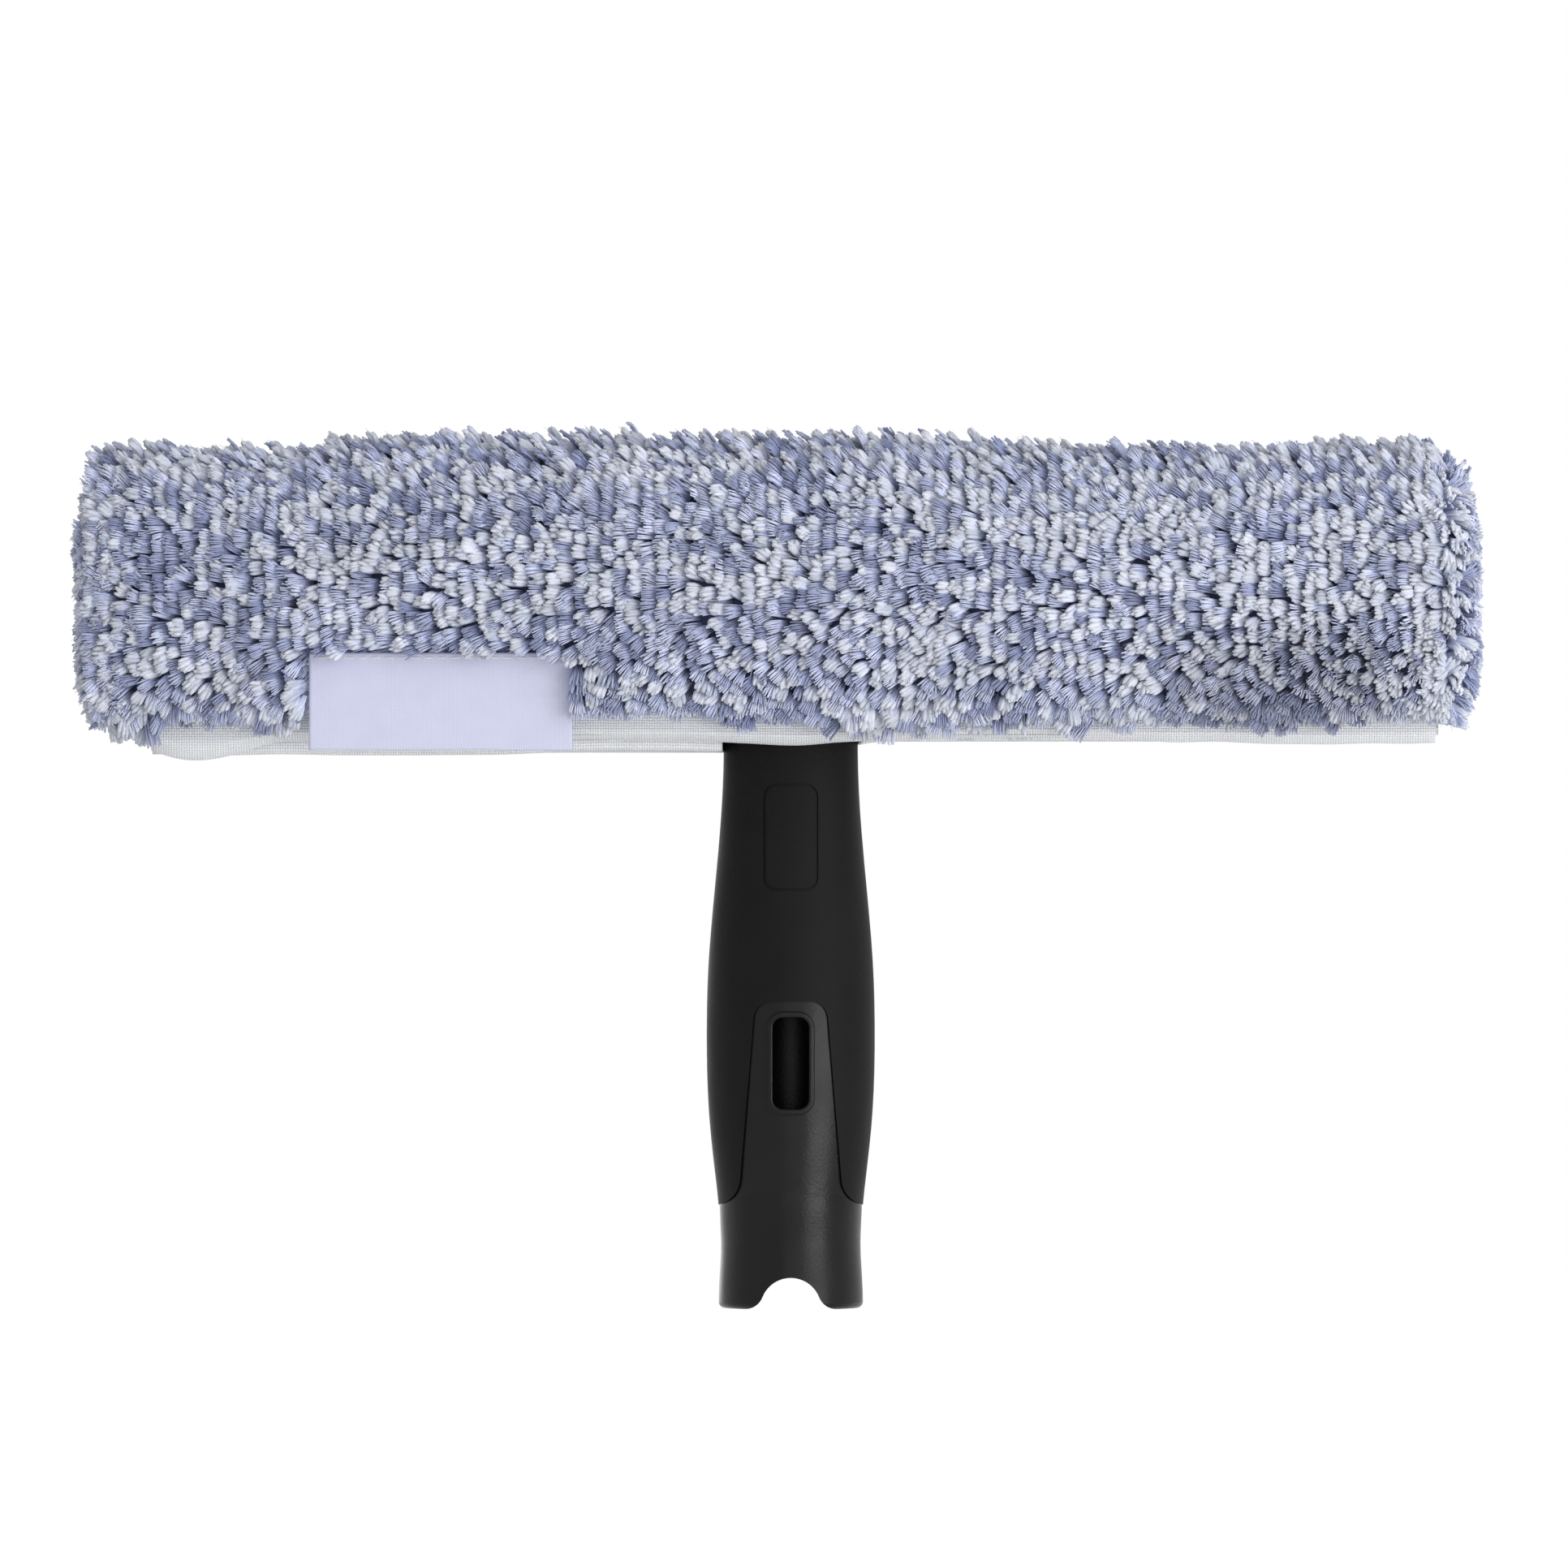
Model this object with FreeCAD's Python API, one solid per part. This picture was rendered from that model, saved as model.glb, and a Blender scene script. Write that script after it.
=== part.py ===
# Window scrubber: a moulded T-bar with a socketed grip, and the tufted washing sleeve that slips over the bar.
# Millimetres. The origin is the centre of the pole socket's mouth. +Z runs up the handle, +X runs along the
# bar, and -Y is the front, the side with the label.
import FreeCAD, Part
import math
import os

LEFT = -1
RIGHT = 1
FRONT = -1
REAR = 1

# Cuts run this far past the faces they leave.
OVERRUN = 12.0

# Pole socket, at the foot of the handle.
SOCKET_RADIUS = 13.5
SOCKET_DEPTH = 92.0
SOCKET_LEAD_IN = 1.0
MOUTH_RADIUS = 18.2
MOUTH_ROUND = 1.5
WAIST_RADIUS = 17.6
WAIST_HEIGHT = 17.0
SKIRT_RADIUS = 17.95
SKIRT_TAPER = 17.0
CORE_RADIUS = 17.2
CORE_TOP = 84.0

# Scallops in the front and back of the mouth.
SCALLOP_HEIGHT = 8.0
SCALLOP_CROWN = 7.6
SCALLOP_LOBE = 5.0

# Latch window through the front wall of the socket.
WINDOW_WIDTH = 9.0
WINDOW_HEIGHT = 23.0
WINDOW_CENTRE = 61.9
WINDOW_CORNER = 2.6
WINDOW_LIP = 1.5
WINDOW_LIP_RISE = 0.8
WINDOW_ROUND = 0.5

# Neck of the core, under the grip.
NECK_WIDTH = 28.4
NECK_DEPTH = 20.8
NECK_LENGTH = 19.0
NECK_SHOULDER = 0.4

# Soft grip moulded over the core.
GRIP_FOOT = 26.0
GRIP_LENGTH = 121.0
GRIP_WIDTH = 42.4
GRIP_DEPTH = 38.4
# Each row: height along the grip, width and depth, as shares of the grip's length, width and depth.
GRIP_STATION_SHARES = (
    (0.000, 0.860, 0.952),
    (0.120, 0.936, 0.977),
    (0.240, 0.988, 0.995),
    (0.347, 1.000, 1.000),
    (0.463, 0.989, 0.994),
    (0.570, 0.950, 0.966),
    (0.736, 0.863, 0.856),
    (0.893, 0.804, 0.724),
    (1.000, 0.802, 0.664),
)
OVAL_POINTS = 24

# Tongue of the core, which shows in the front of the grip.
TONGUE_SINK = 0.5
TONGUE_TOP = 77.4
TONGUE_TOP_WIDTH = 18.0
TONGUE_FOOT_WIDTH = 26.6
TONGUE_CORNER = 4.6
TONGUE_FLARE = 7.0

# Plain frame sunk into the front of the neck.
FRAME_WIDTH = 13.8
FRAME_HEIGHT = 27.0
FRAME_DROP = 28.4
FRAME_CORNER = 3.4
FRAME_GROOVE = 0.7
FRAME_SINK = 0.4

# Bar, a hollow flat-sided section with round edges.
BAR_DEPTH = 16.0
BAR_HEIGHT = 48.0
BAR_WALL = 2.2
BAR_FIT = 0.1
CAP_THICKNESS = 2.0
CAP_SPIGOT = 9.0
DRAIN_COUNT = 4
DRAIN_START = 38.0
DRAIN_END_SETBACK = 32.0
DRAIN_LENGTH = 16.0
DRAIN_HEIGHT = 5.0

# Yoke at the head of the core, with a cheek before and behind the bar, and the block inside the bar.
YOKE_WIDTH = 33.0
YOKE_CHEEK = 3.6
YOKE_FLOOR = 8.0
YOKE_RISE = 16.0
YOKE_ROUND = 2.5
INSERT_LENGTH = 36.0

# Countersunk screws through the cheeks into the block.
SCREW_SPACING = 18.0
SCREW_RISE = 9.5
SCREW_RADIUS = 1.75
SCREW_LENGTH = 9.6
SCREW_HEAD_RADIUS = 3.4
SCREW_HEAD_DEPTH = 1.7
SCREW_SINK = 0.2
SCREW_FIT = 0.05

# Washing sleeve: a bag of lining with pile outside it, open below.
SLEEVE_LENGTH = 356.0
SLEEVE_SHIFT = -3.3
SLEEVE_END_SLACK = 9.2
LINING_THICKNESS = 1.4
LINING_TOP_RADIUS = 11.5
LINING_TOP_GAP = 0.5
LINING_MOUTH_HALF = 15.6
PILE_TOP = 14.5
PILE_SIDE = 12.6
PILE_END = 12.0
PILE_DROP = 6.5
PILE_EDGE = 5.0
PILE_END_ROUND = 8.0
PILE_END_STEPS = 4

# Canvas along the mouth of the sleeve: outside hems and the two flaps that lap under the bar.
CANVAS_THICKNESS = 1.0
HEM_LEFT_SETBACK = 25.0
HEM_RIGHT_SETBACK = 13.0
FLAP_SETBACK = 17.5
FLAP_GAP = 0.3
FLAP_AXIS_HALF = 16.5
FLAP_DROP = 14.5
REAR_FLAP_REACH = 25.0
FRONT_FLAP_REACH = 15.7
NOTCH_HALF = 19.2
NOTCH_EDGE = 2.3
TAPE_LENGTH = 96.0
TAPE_WIDTH = 6.4
TAPE_SETBACK = 0.5
TAPE_START = 24.0
LOOP_THICKNESS = 1.1
HOOK_THICKNESS = 1.0
TAPE_GAP = 0.2

# Sewn label, held by its upper edge over flattened pile.
LABEL_WIDTH = 66.0
LABEL_HEIGHT = 23.6
LABEL_RISE = 16.3
LABEL_CENTRE = -87.7
LABEL_THICKNESS = 0.8
LABEL_BACKING = 8.0
LABEL_GAP = 0.4
LABEL_SIDE_GAP = 0.8
LABEL_TOP_GAP = 0.8

# Heights and edges that follow from the sizes above.
GRIP_TOP = GRIP_FOOT + GRIP_LENGTH
NECK_START = GRIP_TOP - NECK_LENGTH
FRAME_CENTRE = GRIP_TOP - FRAME_DROP
BAR_LENGTH = SLEEVE_LENGTH - 2 * (PILE_END + LINING_THICKNESS) - SLEEVE_END_SLACK
BAR_RADIUS = BAR_DEPTH / 2
BAR_FOOT = GRIP_TOP + YOKE_FLOOR
BAR_TOP = BAR_FOOT + BAR_HEIGHT
DRAIN_PITCH = (BAR_LENGTH / 2 - DRAIN_END_SETBACK - DRAIN_START) / (DRAIN_COUNT - 1)
YOKE_HALF_DEPTH = BAR_RADIUS + BAR_FIT + YOKE_CHEEK
SCREW_HEIGHT = BAR_FOOT + SCREW_RISE
SLEEVE_LEFT = SLEEVE_SHIFT - SLEEVE_LENGTH / 2
SLEEVE_RIGHT = SLEEVE_SHIFT + SLEEVE_LENGTH / 2
SLEEVE_CENTRE = BAR_TOP + LINING_TOP_GAP - LINING_TOP_RADIUS
PILE_FOOT = BAR_FOOT - PILE_DROP
REAR_FLAP_AXIS = BAR_FOOT - FLAP_DROP
REAR_LINING_FOOT = REAR_FLAP_AXIS + CANVAS_THICKNESS / 2 + FLAP_GAP
FRONT_FLAP_AXIS = REAR_FLAP_AXIS + CANVAS_THICKNESS + LOOP_THICKNESS + TAPE_GAP + HOOK_THICKNESS
FRONT_LINING_FOOT = FRONT_FLAP_AXIS + CANVAS_THICKNESS / 2 + FLAP_GAP
LABEL_TOP = PILE_FOOT + LABEL_RISE
LABEL_STANDOFF = LINING_THICKNESS + LABEL_BACKING + LABEL_GAP


def vec(x, y, z):
    return FreeCAD.Vector(x, y, z)


def box(x0, x1, y0, y1, z0, z1):
    """Box between two bounds on each axis, given in either order."""
    low = vec(min(x0, x1), min(y0, y1), min(z0, z1))
    return Part.makeBox(abs(x1 - x0), abs(y1 - y0), abs(z1 - z0), low)


def line(start, end):
    return Part.LineSegment(start, end).toShape()


def corner_points(before, corner, after, radius):
    """Start, middle and end of the arc that rounds one corner."""
    back = (before - corner).normalize()
    ahead = (after - corner).normalize()
    half = back.getAngle(ahead) / 2
    run = radius / math.tan(half)
    inward = (back + ahead).normalize()
    middle = corner + inward * (radius / math.sin(half) - radius)
    return corner + back * run, middle, corner + ahead * run


def rounded_wire(points, radii):
    """Closed outline through the points, each corner rounded by its own radius."""
    count = len(points)
    arcs = []
    for index in range(count):
        arcs.append(corner_points(points[index - 1], points[index], points[(index + 1) % count], radii[index]))
    edges = []
    for index in range(count):
        start, middle, end = arcs[index]
        if radii[index] > 0:
            edges.append(Part.Arc(start, middle, end).toShape())
        edges.append(line(end, arcs[(index + 1) % count][0]))
    return Part.Wire(edges)


def upright_rectangle(width, height, centre, corner, y):
    """Rounded rectangle that faces along Y, centred on the handle."""
    half = width / 2
    low = centre - height / 2
    high = centre + height / 2
    points = [vec(-half, y, low), vec(half, y, low), vec(half, y, high), vec(-half, y, high)]
    return rounded_wire(points, [corner] * 4)


def prism(wire, direction):
    return Part.Face(wire).extrude(direction)


def oval_wire(z, half_width, half_depth):
    """Closed oval in a level plane."""
    points = []
    for index in range(OVAL_POINTS):
        turn = 2 * math.pi * index / OVAL_POINTS
        points.append(vec(half_width * math.cos(turn), half_depth * math.sin(turn), z))
    curve = Part.BSplineCurve()
    curve.interpolate(Points=points, PeriodicFlag=True)
    return Part.Wire([curve.toShape()])


def rod(radius, x0, x1, y, z):
    """Round bar along X."""
    return Part.makeCylinder(radius, x1 - x0, vec(x0, y, z), vec(1, 0, 0))


def bar_section(x0, x1, inset):
    """Solid with the bar's flat-sided section, drawn in by the inset."""
    radius = BAR_RADIUS - inset
    low = BAR_FOOT + BAR_RADIUS
    high = BAR_TOP - BAR_RADIUS
    slab = box(x0, x1, -radius, radius, low, high)
    return slab.fuse([rod(radius, x0, x1, 0, low), rod(radius, x0, x1, 0, high)]).removeSplitter()


def arch_wire(x, half_mouth, foot, radius):
    """Outline of the sleeve across the bar: sides that lean in from the mouth to a round top."""
    drop = SLEEVE_CENTRE - foot
    turn = math.atan2(half_mouth, drop) + math.acos(radius / math.hypot(half_mouth, drop))
    side = radius * math.sin(turn)
    rise = SLEEVE_CENTRE - radius * math.cos(turn)
    crown = Part.Arc(vec(x, side, rise), vec(x, 0, SLEEVE_CENTRE + radius), vec(x, -side, rise)).toShape()
    right = line(vec(x, half_mouth, foot), vec(x, side, rise))
    left = line(vec(x, -side, rise), vec(x, -half_mouth, foot))
    return Part.Wire([right, crown, left, line(vec(x, -half_mouth, foot), vec(x, half_mouth, foot))])


def lining_wire(x, outset):
    """Outline of the bag's inside, grown outwards by the outset."""
    return arch_wire(x, LINING_MOUTH_HALF + outset, REAR_LINING_FOOT, LINING_TOP_RADIUS + outset)


def lining_prism(x0, x1, outset):
    return prism(lining_wire(x0, outset), vec(x1 - x0, 0, 0))


def lining_half_at(z, outset):
    """Half-depth of the bag's leaning side at a height, grown outwards by the outset."""
    mouth = LINING_MOUTH_HALF + outset
    radius = LINING_TOP_RADIUS + outset
    drop = SLEEVE_CENTRE - REAR_LINING_FOOT
    lean = math.pi - math.atan2(mouth, drop) - math.acos(radius / math.hypot(mouth, drop))
    return mouth - (z - REAR_LINING_FOOT) / math.tan(lean)


def pile_wire(x, inset):
    """Outline of the pile across the bar, drawn in by the inset, with its lower edges rounded."""
    half = LINING_MOUTH_HALF + LINING_THICKNESS + PILE_SIDE - inset
    radius = LINING_TOP_RADIUS + LINING_THICKNESS + PILE_TOP - inset
    foot = PILE_FOOT + inset
    edges = arch_wire(x, half, foot, radius).Edges
    tangent = edges[0].Vertexes[1].Point
    start, middle, end = corner_points(tangent, vec(x, half, foot), vec(x, -half, foot), PILE_EDGE)
    flip = [vec(x, -point.y, point.z) for point in (start, middle, end)]
    wires = [
        line(start, tangent),
        edges[1],
        line(vec(x, -tangent.y, tangent.z), flip[0]),
        Part.Arc(flip[0], flip[1], flip[2]).toShape(),
        line(flip[2], end),
        Part.Arc(end, middle, start).toShape(),
    ]
    return Part.Wire(wires)


def socket_shell():
    """Round outside of the socket, from the mouth up to the neck."""
    slant = MOUTH_ROUND * math.sqrt(0.5)
    inner = MOUTH_RADIUS - MOUTH_ROUND
    rounding = Part.Arc(
        vec(inner, 0, 0), vec(inner + slant, 0, MOUTH_ROUND - slant), vec(MOUTH_RADIUS, 0, MOUTH_ROUND))
    skirt = Part.BSplineCurve()
    skirt.interpolate(
        Points=[
            vec(MOUTH_RADIUS, 0, MOUTH_ROUND),
            vec(WAIST_RADIUS, 0, WAIST_HEIGHT),
            vec(SKIRT_RADIUS, 0, GRIP_FOOT),
            vec(CORE_RADIUS, 0, GRIP_FOOT + SKIRT_TAPER),
        ],
        InitialTangent=vec(0, 0, 1), FinalTangent=vec(0, 0, 1))
    outline = [
        vec(CORE_RADIUS, 0, GRIP_FOOT + SKIRT_TAPER),
        vec(CORE_RADIUS, 0, CORE_TOP),
        vec(0, 0, CORE_TOP),
        vec(0, 0, 0),
        vec(inner, 0, 0),
    ]
    edges = [rounding.toShape(), skirt.toShape()]
    for start, end in zip(outline, outline[1:]):
        edges.append(line(start, end))
    return Part.Face(Part.Wire(edges)).revolve(vec(0, 0, 0), vec(0, 0, 1), 360)


def neck():
    """Tapering neck between the socket and the yoke."""
    wires = [
        oval_wire(CORE_TOP, CORE_RADIUS - NECK_SHOULDER, CORE_RADIUS - NECK_SHOULDER),
        oval_wire(NECK_START, NECK_WIDTH / 2, NECK_DEPTH / 2),
        oval_wire(GRIP_TOP, NECK_WIDTH / 2, NECK_DEPTH / 2),
    ]
    return Part.makeLoft(wires, True, True)


def yoke():
    """Block that holds the bar between two cheeks."""
    half = YOKE_WIDTH / 2
    block = box(-half, half, -YOKE_HALF_DEPTH, YOKE_HALF_DEPTH, GRIP_TOP, BAR_FOOT + YOKE_RISE)
    upright = [edge for edge in block.Edges if abs(edge.tangentAt(edge.FirstParameter).z) > 0.5]
    return block.makeFillet(YOKE_ROUND, upright).cut(bar_section(-YOKE_WIDTH, YOKE_WIDTH, -BAR_FIT))


def scallop():
    """Cut through the front and back of the mouth: a round crown that runs out over two lobes."""
    reach = SCALLOP_LOBE + SCALLOP_CROWN
    crown_height = SCALLOP_HEIGHT - SCALLOP_CROWN
    half = math.sqrt(reach ** 2 - (SCALLOP_LOBE - crown_height) ** 2)
    turn = math.atan2(SCALLOP_LOBE - crown_height, half)
    far = -MOUTH_RADIUS - OVERRUN
    meet_x = SCALLOP_CROWN * math.cos(turn)
    meet_z = crown_height + SCALLOP_CROWN * math.sin(turn)
    bend = (math.pi / 2 - turn) / 2 + turn
    lobe_x = half - SCALLOP_LOBE * math.cos(bend)
    lobe_z = SCALLOP_LOBE - SCALLOP_LOBE * math.sin(bend)
    edges = [
        Part.Arc(vec(-half, far, 0), vec(-lobe_x, far, lobe_z), vec(-meet_x, far, meet_z)).toShape(),
        Part.Arc(vec(-meet_x, far, meet_z), vec(0, far, SCALLOP_HEIGHT), vec(meet_x, far, meet_z)).toShape(),
        Part.Arc(vec(meet_x, far, meet_z), vec(lobe_x, far, lobe_z), vec(half, far, 0)).toShape(),
        line(vec(half, far, 0), vec(half, far, -OVERRUN)),
        line(vec(half, far, -OVERRUN), vec(-half, far, -OVERRUN)),
        line(vec(-half, far, -OVERRUN), vec(-half, far, 0)),
    ]
    return prism(Part.Wire(edges), vec(0, -2 * far, 0))


def windowed(shell):
    """The socket with its latch window inside a raised, rounded lip."""
    far = -GRIP_DEPTH / 2 - OVERRUN
    width = WINDOW_WIDTH + 2 * WINDOW_LIP
    height = WINDOW_HEIGHT + 2 * WINDOW_LIP
    outer = upright_rectangle(width, height, WINDOW_CENTRE, WINDOW_CORNER + WINDOW_LIP, far)
    inner = upright_rectangle(WINDOW_WIDTH, WINDOW_HEIGHT, WINDOW_CENTRE, WINDOW_CORNER, far)
    lip = grip_loft(TONGUE_SINK - WINDOW_LIP_RISE).common(prism(outer, vec(0, -far, 0)))
    lip = lip.cut(prism(inner, vec(0, -far, 0)))
    rims = []
    for edge in lip.Edges:
        middle = edge.valueAt((edge.FirstParameter + edge.LastParameter) / 2)
        if middle.y < -SOCKET_RADIUS and abs(edge.tangentAt(edge.FirstParameter).y) < 0.9:
            rims.append(edge)
    lip = lip.makeFillet(WINDOW_ROUND, rims)
    return shell.cut(prism(inner, vec(0, -far, 0))).fuse(lip)


def socket_bore():
    """Pole socket with a flared lead-in at the mouth."""
    bore = Part.makeCylinder(SOCKET_RADIUS, SOCKET_DEPTH + OVERRUN, vec(0, 0, -OVERRUN))
    flare = Part.makeCone(SOCKET_RADIUS + SOCKET_LEAD_IN, SOCKET_RADIUS, SOCKET_LEAD_IN)
    return bore.fuse(flare)


def screw(x, side, fit):
    """Countersunk screw from one face of the yoke towards the middle of the bar, grown by the fit."""
    face = side * (YOKE_HALF_DEPTH - SCREW_SINK)
    start = vec(x, face, SCREW_HEIGHT)
    inward = vec(0, -side, 0)
    head = Part.makeCone(SCREW_HEAD_RADIUS + fit, SCREW_RADIUS + fit, SCREW_HEAD_DEPTH, start, inward)
    return head.fuse(Part.makeCylinder(SCREW_RADIUS + fit, SCREW_LENGTH + fit, start, inward)).removeSplitter()


def screws(fit):
    shapes = []
    for side in (FRONT, REAR):
        for end in (LEFT, RIGHT):
            shapes.append(screw(end * SCREW_SPACING / 2, side, fit))
    return shapes


def screw_sinks():
    """Clearance for the screws, with each head's recess open at the face of the yoke."""
    shapes = screws(SCREW_FIT)
    for side in (FRONT, REAR):
        for end in (LEFT, RIGHT):
            start = vec(end * SCREW_SPACING / 2, side * (YOKE_HALF_DEPTH - SCREW_SINK), SCREW_HEIGHT)
            shapes.append(Part.makeCylinder(SCREW_HEAD_RADIUS + SCREW_FIT, OVERRUN, start, vec(0, side, 0)))
    return shapes


def core_outside():
    """Core without its socket, scallops, window and screw holes."""
    return socket_shell().fuse([neck(), yoke()]).removeSplitter()


def handle_core():
    tongue_face = grip_loft(TONGUE_SINK).common(tongue())
    shell = windowed(socket_shell().fuse(tongue_face)).cut(scallop())
    body = shell.fuse([neck(), yoke()])
    return body.cut([socket_bore()] + screw_sinks())


def grip_loft(sink):
    """Smooth outside of the grip, drawn in by the sink."""
    wires = []
    for height, width, depth in GRIP_STATION_SHARES:
        half_width = GRIP_WIDTH * width / 2 - sink
        half_depth = GRIP_DEPTH * depth / 2 - sink
        wires.append(oval_wire(GRIP_FOOT + GRIP_LENGTH * height, half_width, half_depth))
    return Part.makeLoft(wires, True, False)


def tongue():
    """Front of the grip where the core shows, flaring out to the foot of the grip."""
    top = TONGUE_TOP_WIDTH / 2
    foot = TONGUE_FOOT_WIDTH / 2
    wide = GRIP_WIDTH / 2 + OVERRUN
    far = -GRIP_DEPTH / 2 - OVERRUN
    low = GRIP_FOOT - OVERRUN
    points = [
        vec(-top, far, TONGUE_TOP),
        vec(top, far, TONGUE_TOP),
        vec(foot, far, GRIP_FOOT),
        vec(wide, far, GRIP_FOOT),
        vec(wide, far, low),
        vec(-wide, far, low),
        vec(-wide, far, GRIP_FOOT),
        vec(-foot, far, GRIP_FOOT),
    ]
    radii = [TONGUE_CORNER, TONGUE_CORNER, TONGUE_FLARE, 0, 0, 0, 0, TONGUE_FLARE]
    return prism(rounded_wire(points, radii), vec(0, -far, 0))


def frame_groove():
    """Shallow plain groove round the front of the neck."""
    far = -GRIP_DEPTH / 2 - OVERRUN
    outer = upright_rectangle(FRAME_WIDTH, FRAME_HEIGHT, FRAME_CENTRE, FRAME_CORNER, far)
    inner = upright_rectangle(
        FRAME_WIDTH - 2 * FRAME_GROOVE, FRAME_HEIGHT - 2 * FRAME_GROOVE, FRAME_CENTRE, FRAME_CORNER - FRAME_GROOVE, far)
    ring = prism(outer, vec(0, -far, 0)).cut(prism(inner, vec(0, -far, 0)))
    return ring.cut(grip_loft(FRAME_SINK))


def grip_cover():
    return grip_loft(0).cut([core_outside(), tongue(), frame_groove()])


def drain_slots():
    """Slots through both faces of the bar, in a row on each side of the yoke."""
    centre = (BAR_FOOT + BAR_TOP) / 2
    far = -BAR_RADIUS - OVERRUN
    slots = []
    for side in (LEFT, RIGHT):
        for index in range(DRAIN_COUNT):
            wire = upright_rectangle(DRAIN_LENGTH, DRAIN_HEIGHT, centre, DRAIN_HEIGHT / 3, far)
            slot = prism(wire, vec(0, -2 * far, 0))
            slot.translate(vec(side * (DRAIN_START + index * DRAIN_PITCH), 0, 0))
            slots.append(slot)
    return slots


def bar_tube():
    half = BAR_LENGTH / 2 - CAP_THICKNESS
    outer = bar_section(-half, half, 0)
    inner = bar_section(-half - OVERRUN, half + OVERRUN, BAR_WALL)
    return outer.cut([inner] + drain_slots() + screw_sinks())


def bar_insert():
    half = INSERT_LENGTH / 2
    return bar_section(-half, half, BAR_WALL + BAR_FIT).cut(screws(SCREW_FIT))


def bar_cap(side):
    """End cap with a spigot inside the bar."""
    outer = BAR_LENGTH / 2
    shoulder = outer - CAP_THICKNESS
    plate = bar_section(min(side * shoulder, side * outer), max(side * shoulder, side * outer), 0)
    tip = shoulder - CAP_SPIGOT
    low = min(side * tip, side * shoulder)
    spigot = bar_section(low, low + CAP_SPIGOT, BAR_WALL + BAR_FIT)
    return plate.fuse(spigot).removeSplitter()


def label_span(margin):
    half = LABEL_WIDTH / 2 + margin
    return LABEL_CENTRE - half, LABEL_CENTRE + half


def label_pocket():
    """Room in the front of the pile where the label lies, over a thin layer of flattened pile."""
    left, right = label_span(LABEL_SIDE_GAP)
    top = LABEL_TOP + LABEL_THICKNESS / 2 + LABEL_TOP_GAP
    room = box(left, right, -OVERRUN - PILE_TOP - PILE_SIDE - LINING_MOUTH_HALF, 0, PILE_FOOT - OVERRUN, top)
    return room.cut(lining_prism(left, right, LINING_THICKNESS + LABEL_BACKING))


def pile_wrap():
    x0 = SLEEVE_LEFT + PILE_END
    x1 = SLEEVE_RIGHT - PILE_END
    outer = prism(pile_wire(x0, 0), vec(x1 - x0, 0, 0))
    return outer.cut([lining_prism(x0, x1, LINING_THICKNESS), label_pocket()])


def pile_end(side):
    """Pad of pile across one end of the sleeve, its outer edges rounded in short steps."""
    outer = SLEEVE_LEFT if side == LEFT else SLEEVE_RIGHT
    wires = [pile_wire(outer - side * PILE_END, 0)]
    for index in range(PILE_END_STEPS + 1):
        turn = math.pi / 2 * index / PILE_END_STEPS
        x = outer - side * PILE_END_ROUND * (1 - math.sin(turn))
        wires.append(pile_wire(x, PILE_END_ROUND * (1 - math.cos(turn))))
    return Part.makeLoft(wires, True, True)


def front_trim(x0, x1):
    """Room below the front edge of the lining, which ends higher than the rear edge."""
    return box(x0, x1, -LINING_MOUTH_HALF - OVERRUN, 0, REAR_LINING_FOOT - OVERRUN, FRONT_LINING_FOOT)


def lining_wrap():
    x0 = SLEEVE_LEFT + PILE_END + LINING_THICKNESS
    x1 = SLEEVE_RIGHT - PILE_END - LINING_THICKNESS
    bag = lining_prism(x0, x1, LINING_THICKNESS)
    return bag.cut([lining_prism(x0, x1, 0), front_trim(x0, x1)])


def lining_end(side):
    """Flat panel of lining across one end of the bag."""
    outer = SLEEVE_LEFT + PILE_END if side == LEFT else SLEEVE_RIGHT - PILE_END
    inner = outer - side * LINING_THICKNESS
    x0 = min(outer, inner)
    x1 = max(outer, inner)
    return lining_prism(x0, x1, LINING_THICKNESS).cut(front_trim(x0, x1))


def hem_band(side):
    """Canvas along the outside of the mouth, below the pile."""
    x0 = SLEEVE_LEFT + HEM_LEFT_SETBACK
    x1 = SLEEVE_RIGHT - HEM_RIGHT_SETBACK
    foot = FRONT_LINING_FOOT if side == FRONT else REAR_LINING_FOOT
    shell = lining_prism(x0, x1, LINING_THICKNESS + CANVAS_THICKNESS).cut(lining_prism(x0, x1, LINING_THICKNESS))
    return shell.common(box(x0, x1, 0, side * (LINING_MOUTH_HALF + OVERRUN), foot, PILE_FOOT))


def flap(side, axis_height, reach):
    """Canvas flap hinged on the mouth's edge, notched round the neck of the handle."""
    x0 = SLEEVE_LEFT + FLAP_SETBACK
    x1 = SLEEVE_RIGHT - FLAP_SETBACK
    half = CANVAS_THICKNESS / 2
    axis = side * FLAP_AXIS_HALF
    tip = axis - side * reach
    sheet = box(x0, x1, axis, tip, axis_height - half, axis_height + half)
    fold = rod(half, x0, x1, axis, axis_height)
    edge = axis - side * NOTCH_EDGE
    far = tip - side * OVERRUN
    notch = box(-NOTCH_HALF, NOTCH_HALF, edge, far, axis_height - OVERRUN, axis_height + OVERRUN)
    return sheet.fuse(fold).removeSplitter().cut(notch)


def tape(end, foot, thickness):
    """Fastening tape on the lap of the flaps, beside the neck."""
    near = REAR_FLAP_REACH - FLAP_AXIS_HALF - TAPE_SETBACK
    start = end * TAPE_START
    return box(start, start + end * TAPE_LENGTH, -near, TAPE_WIDTH - near, foot, foot + thickness)


def loop_tape(end):
    return tape(end, REAR_FLAP_AXIS + CANVAS_THICKNESS / 2, LOOP_THICKNESS)


def hook_tape(end):
    return tape(end, FRONT_FLAP_AXIS - CANVAS_THICKNESS / 2 - HOOK_THICKNESS, HOOK_THICKNESS)


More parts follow.
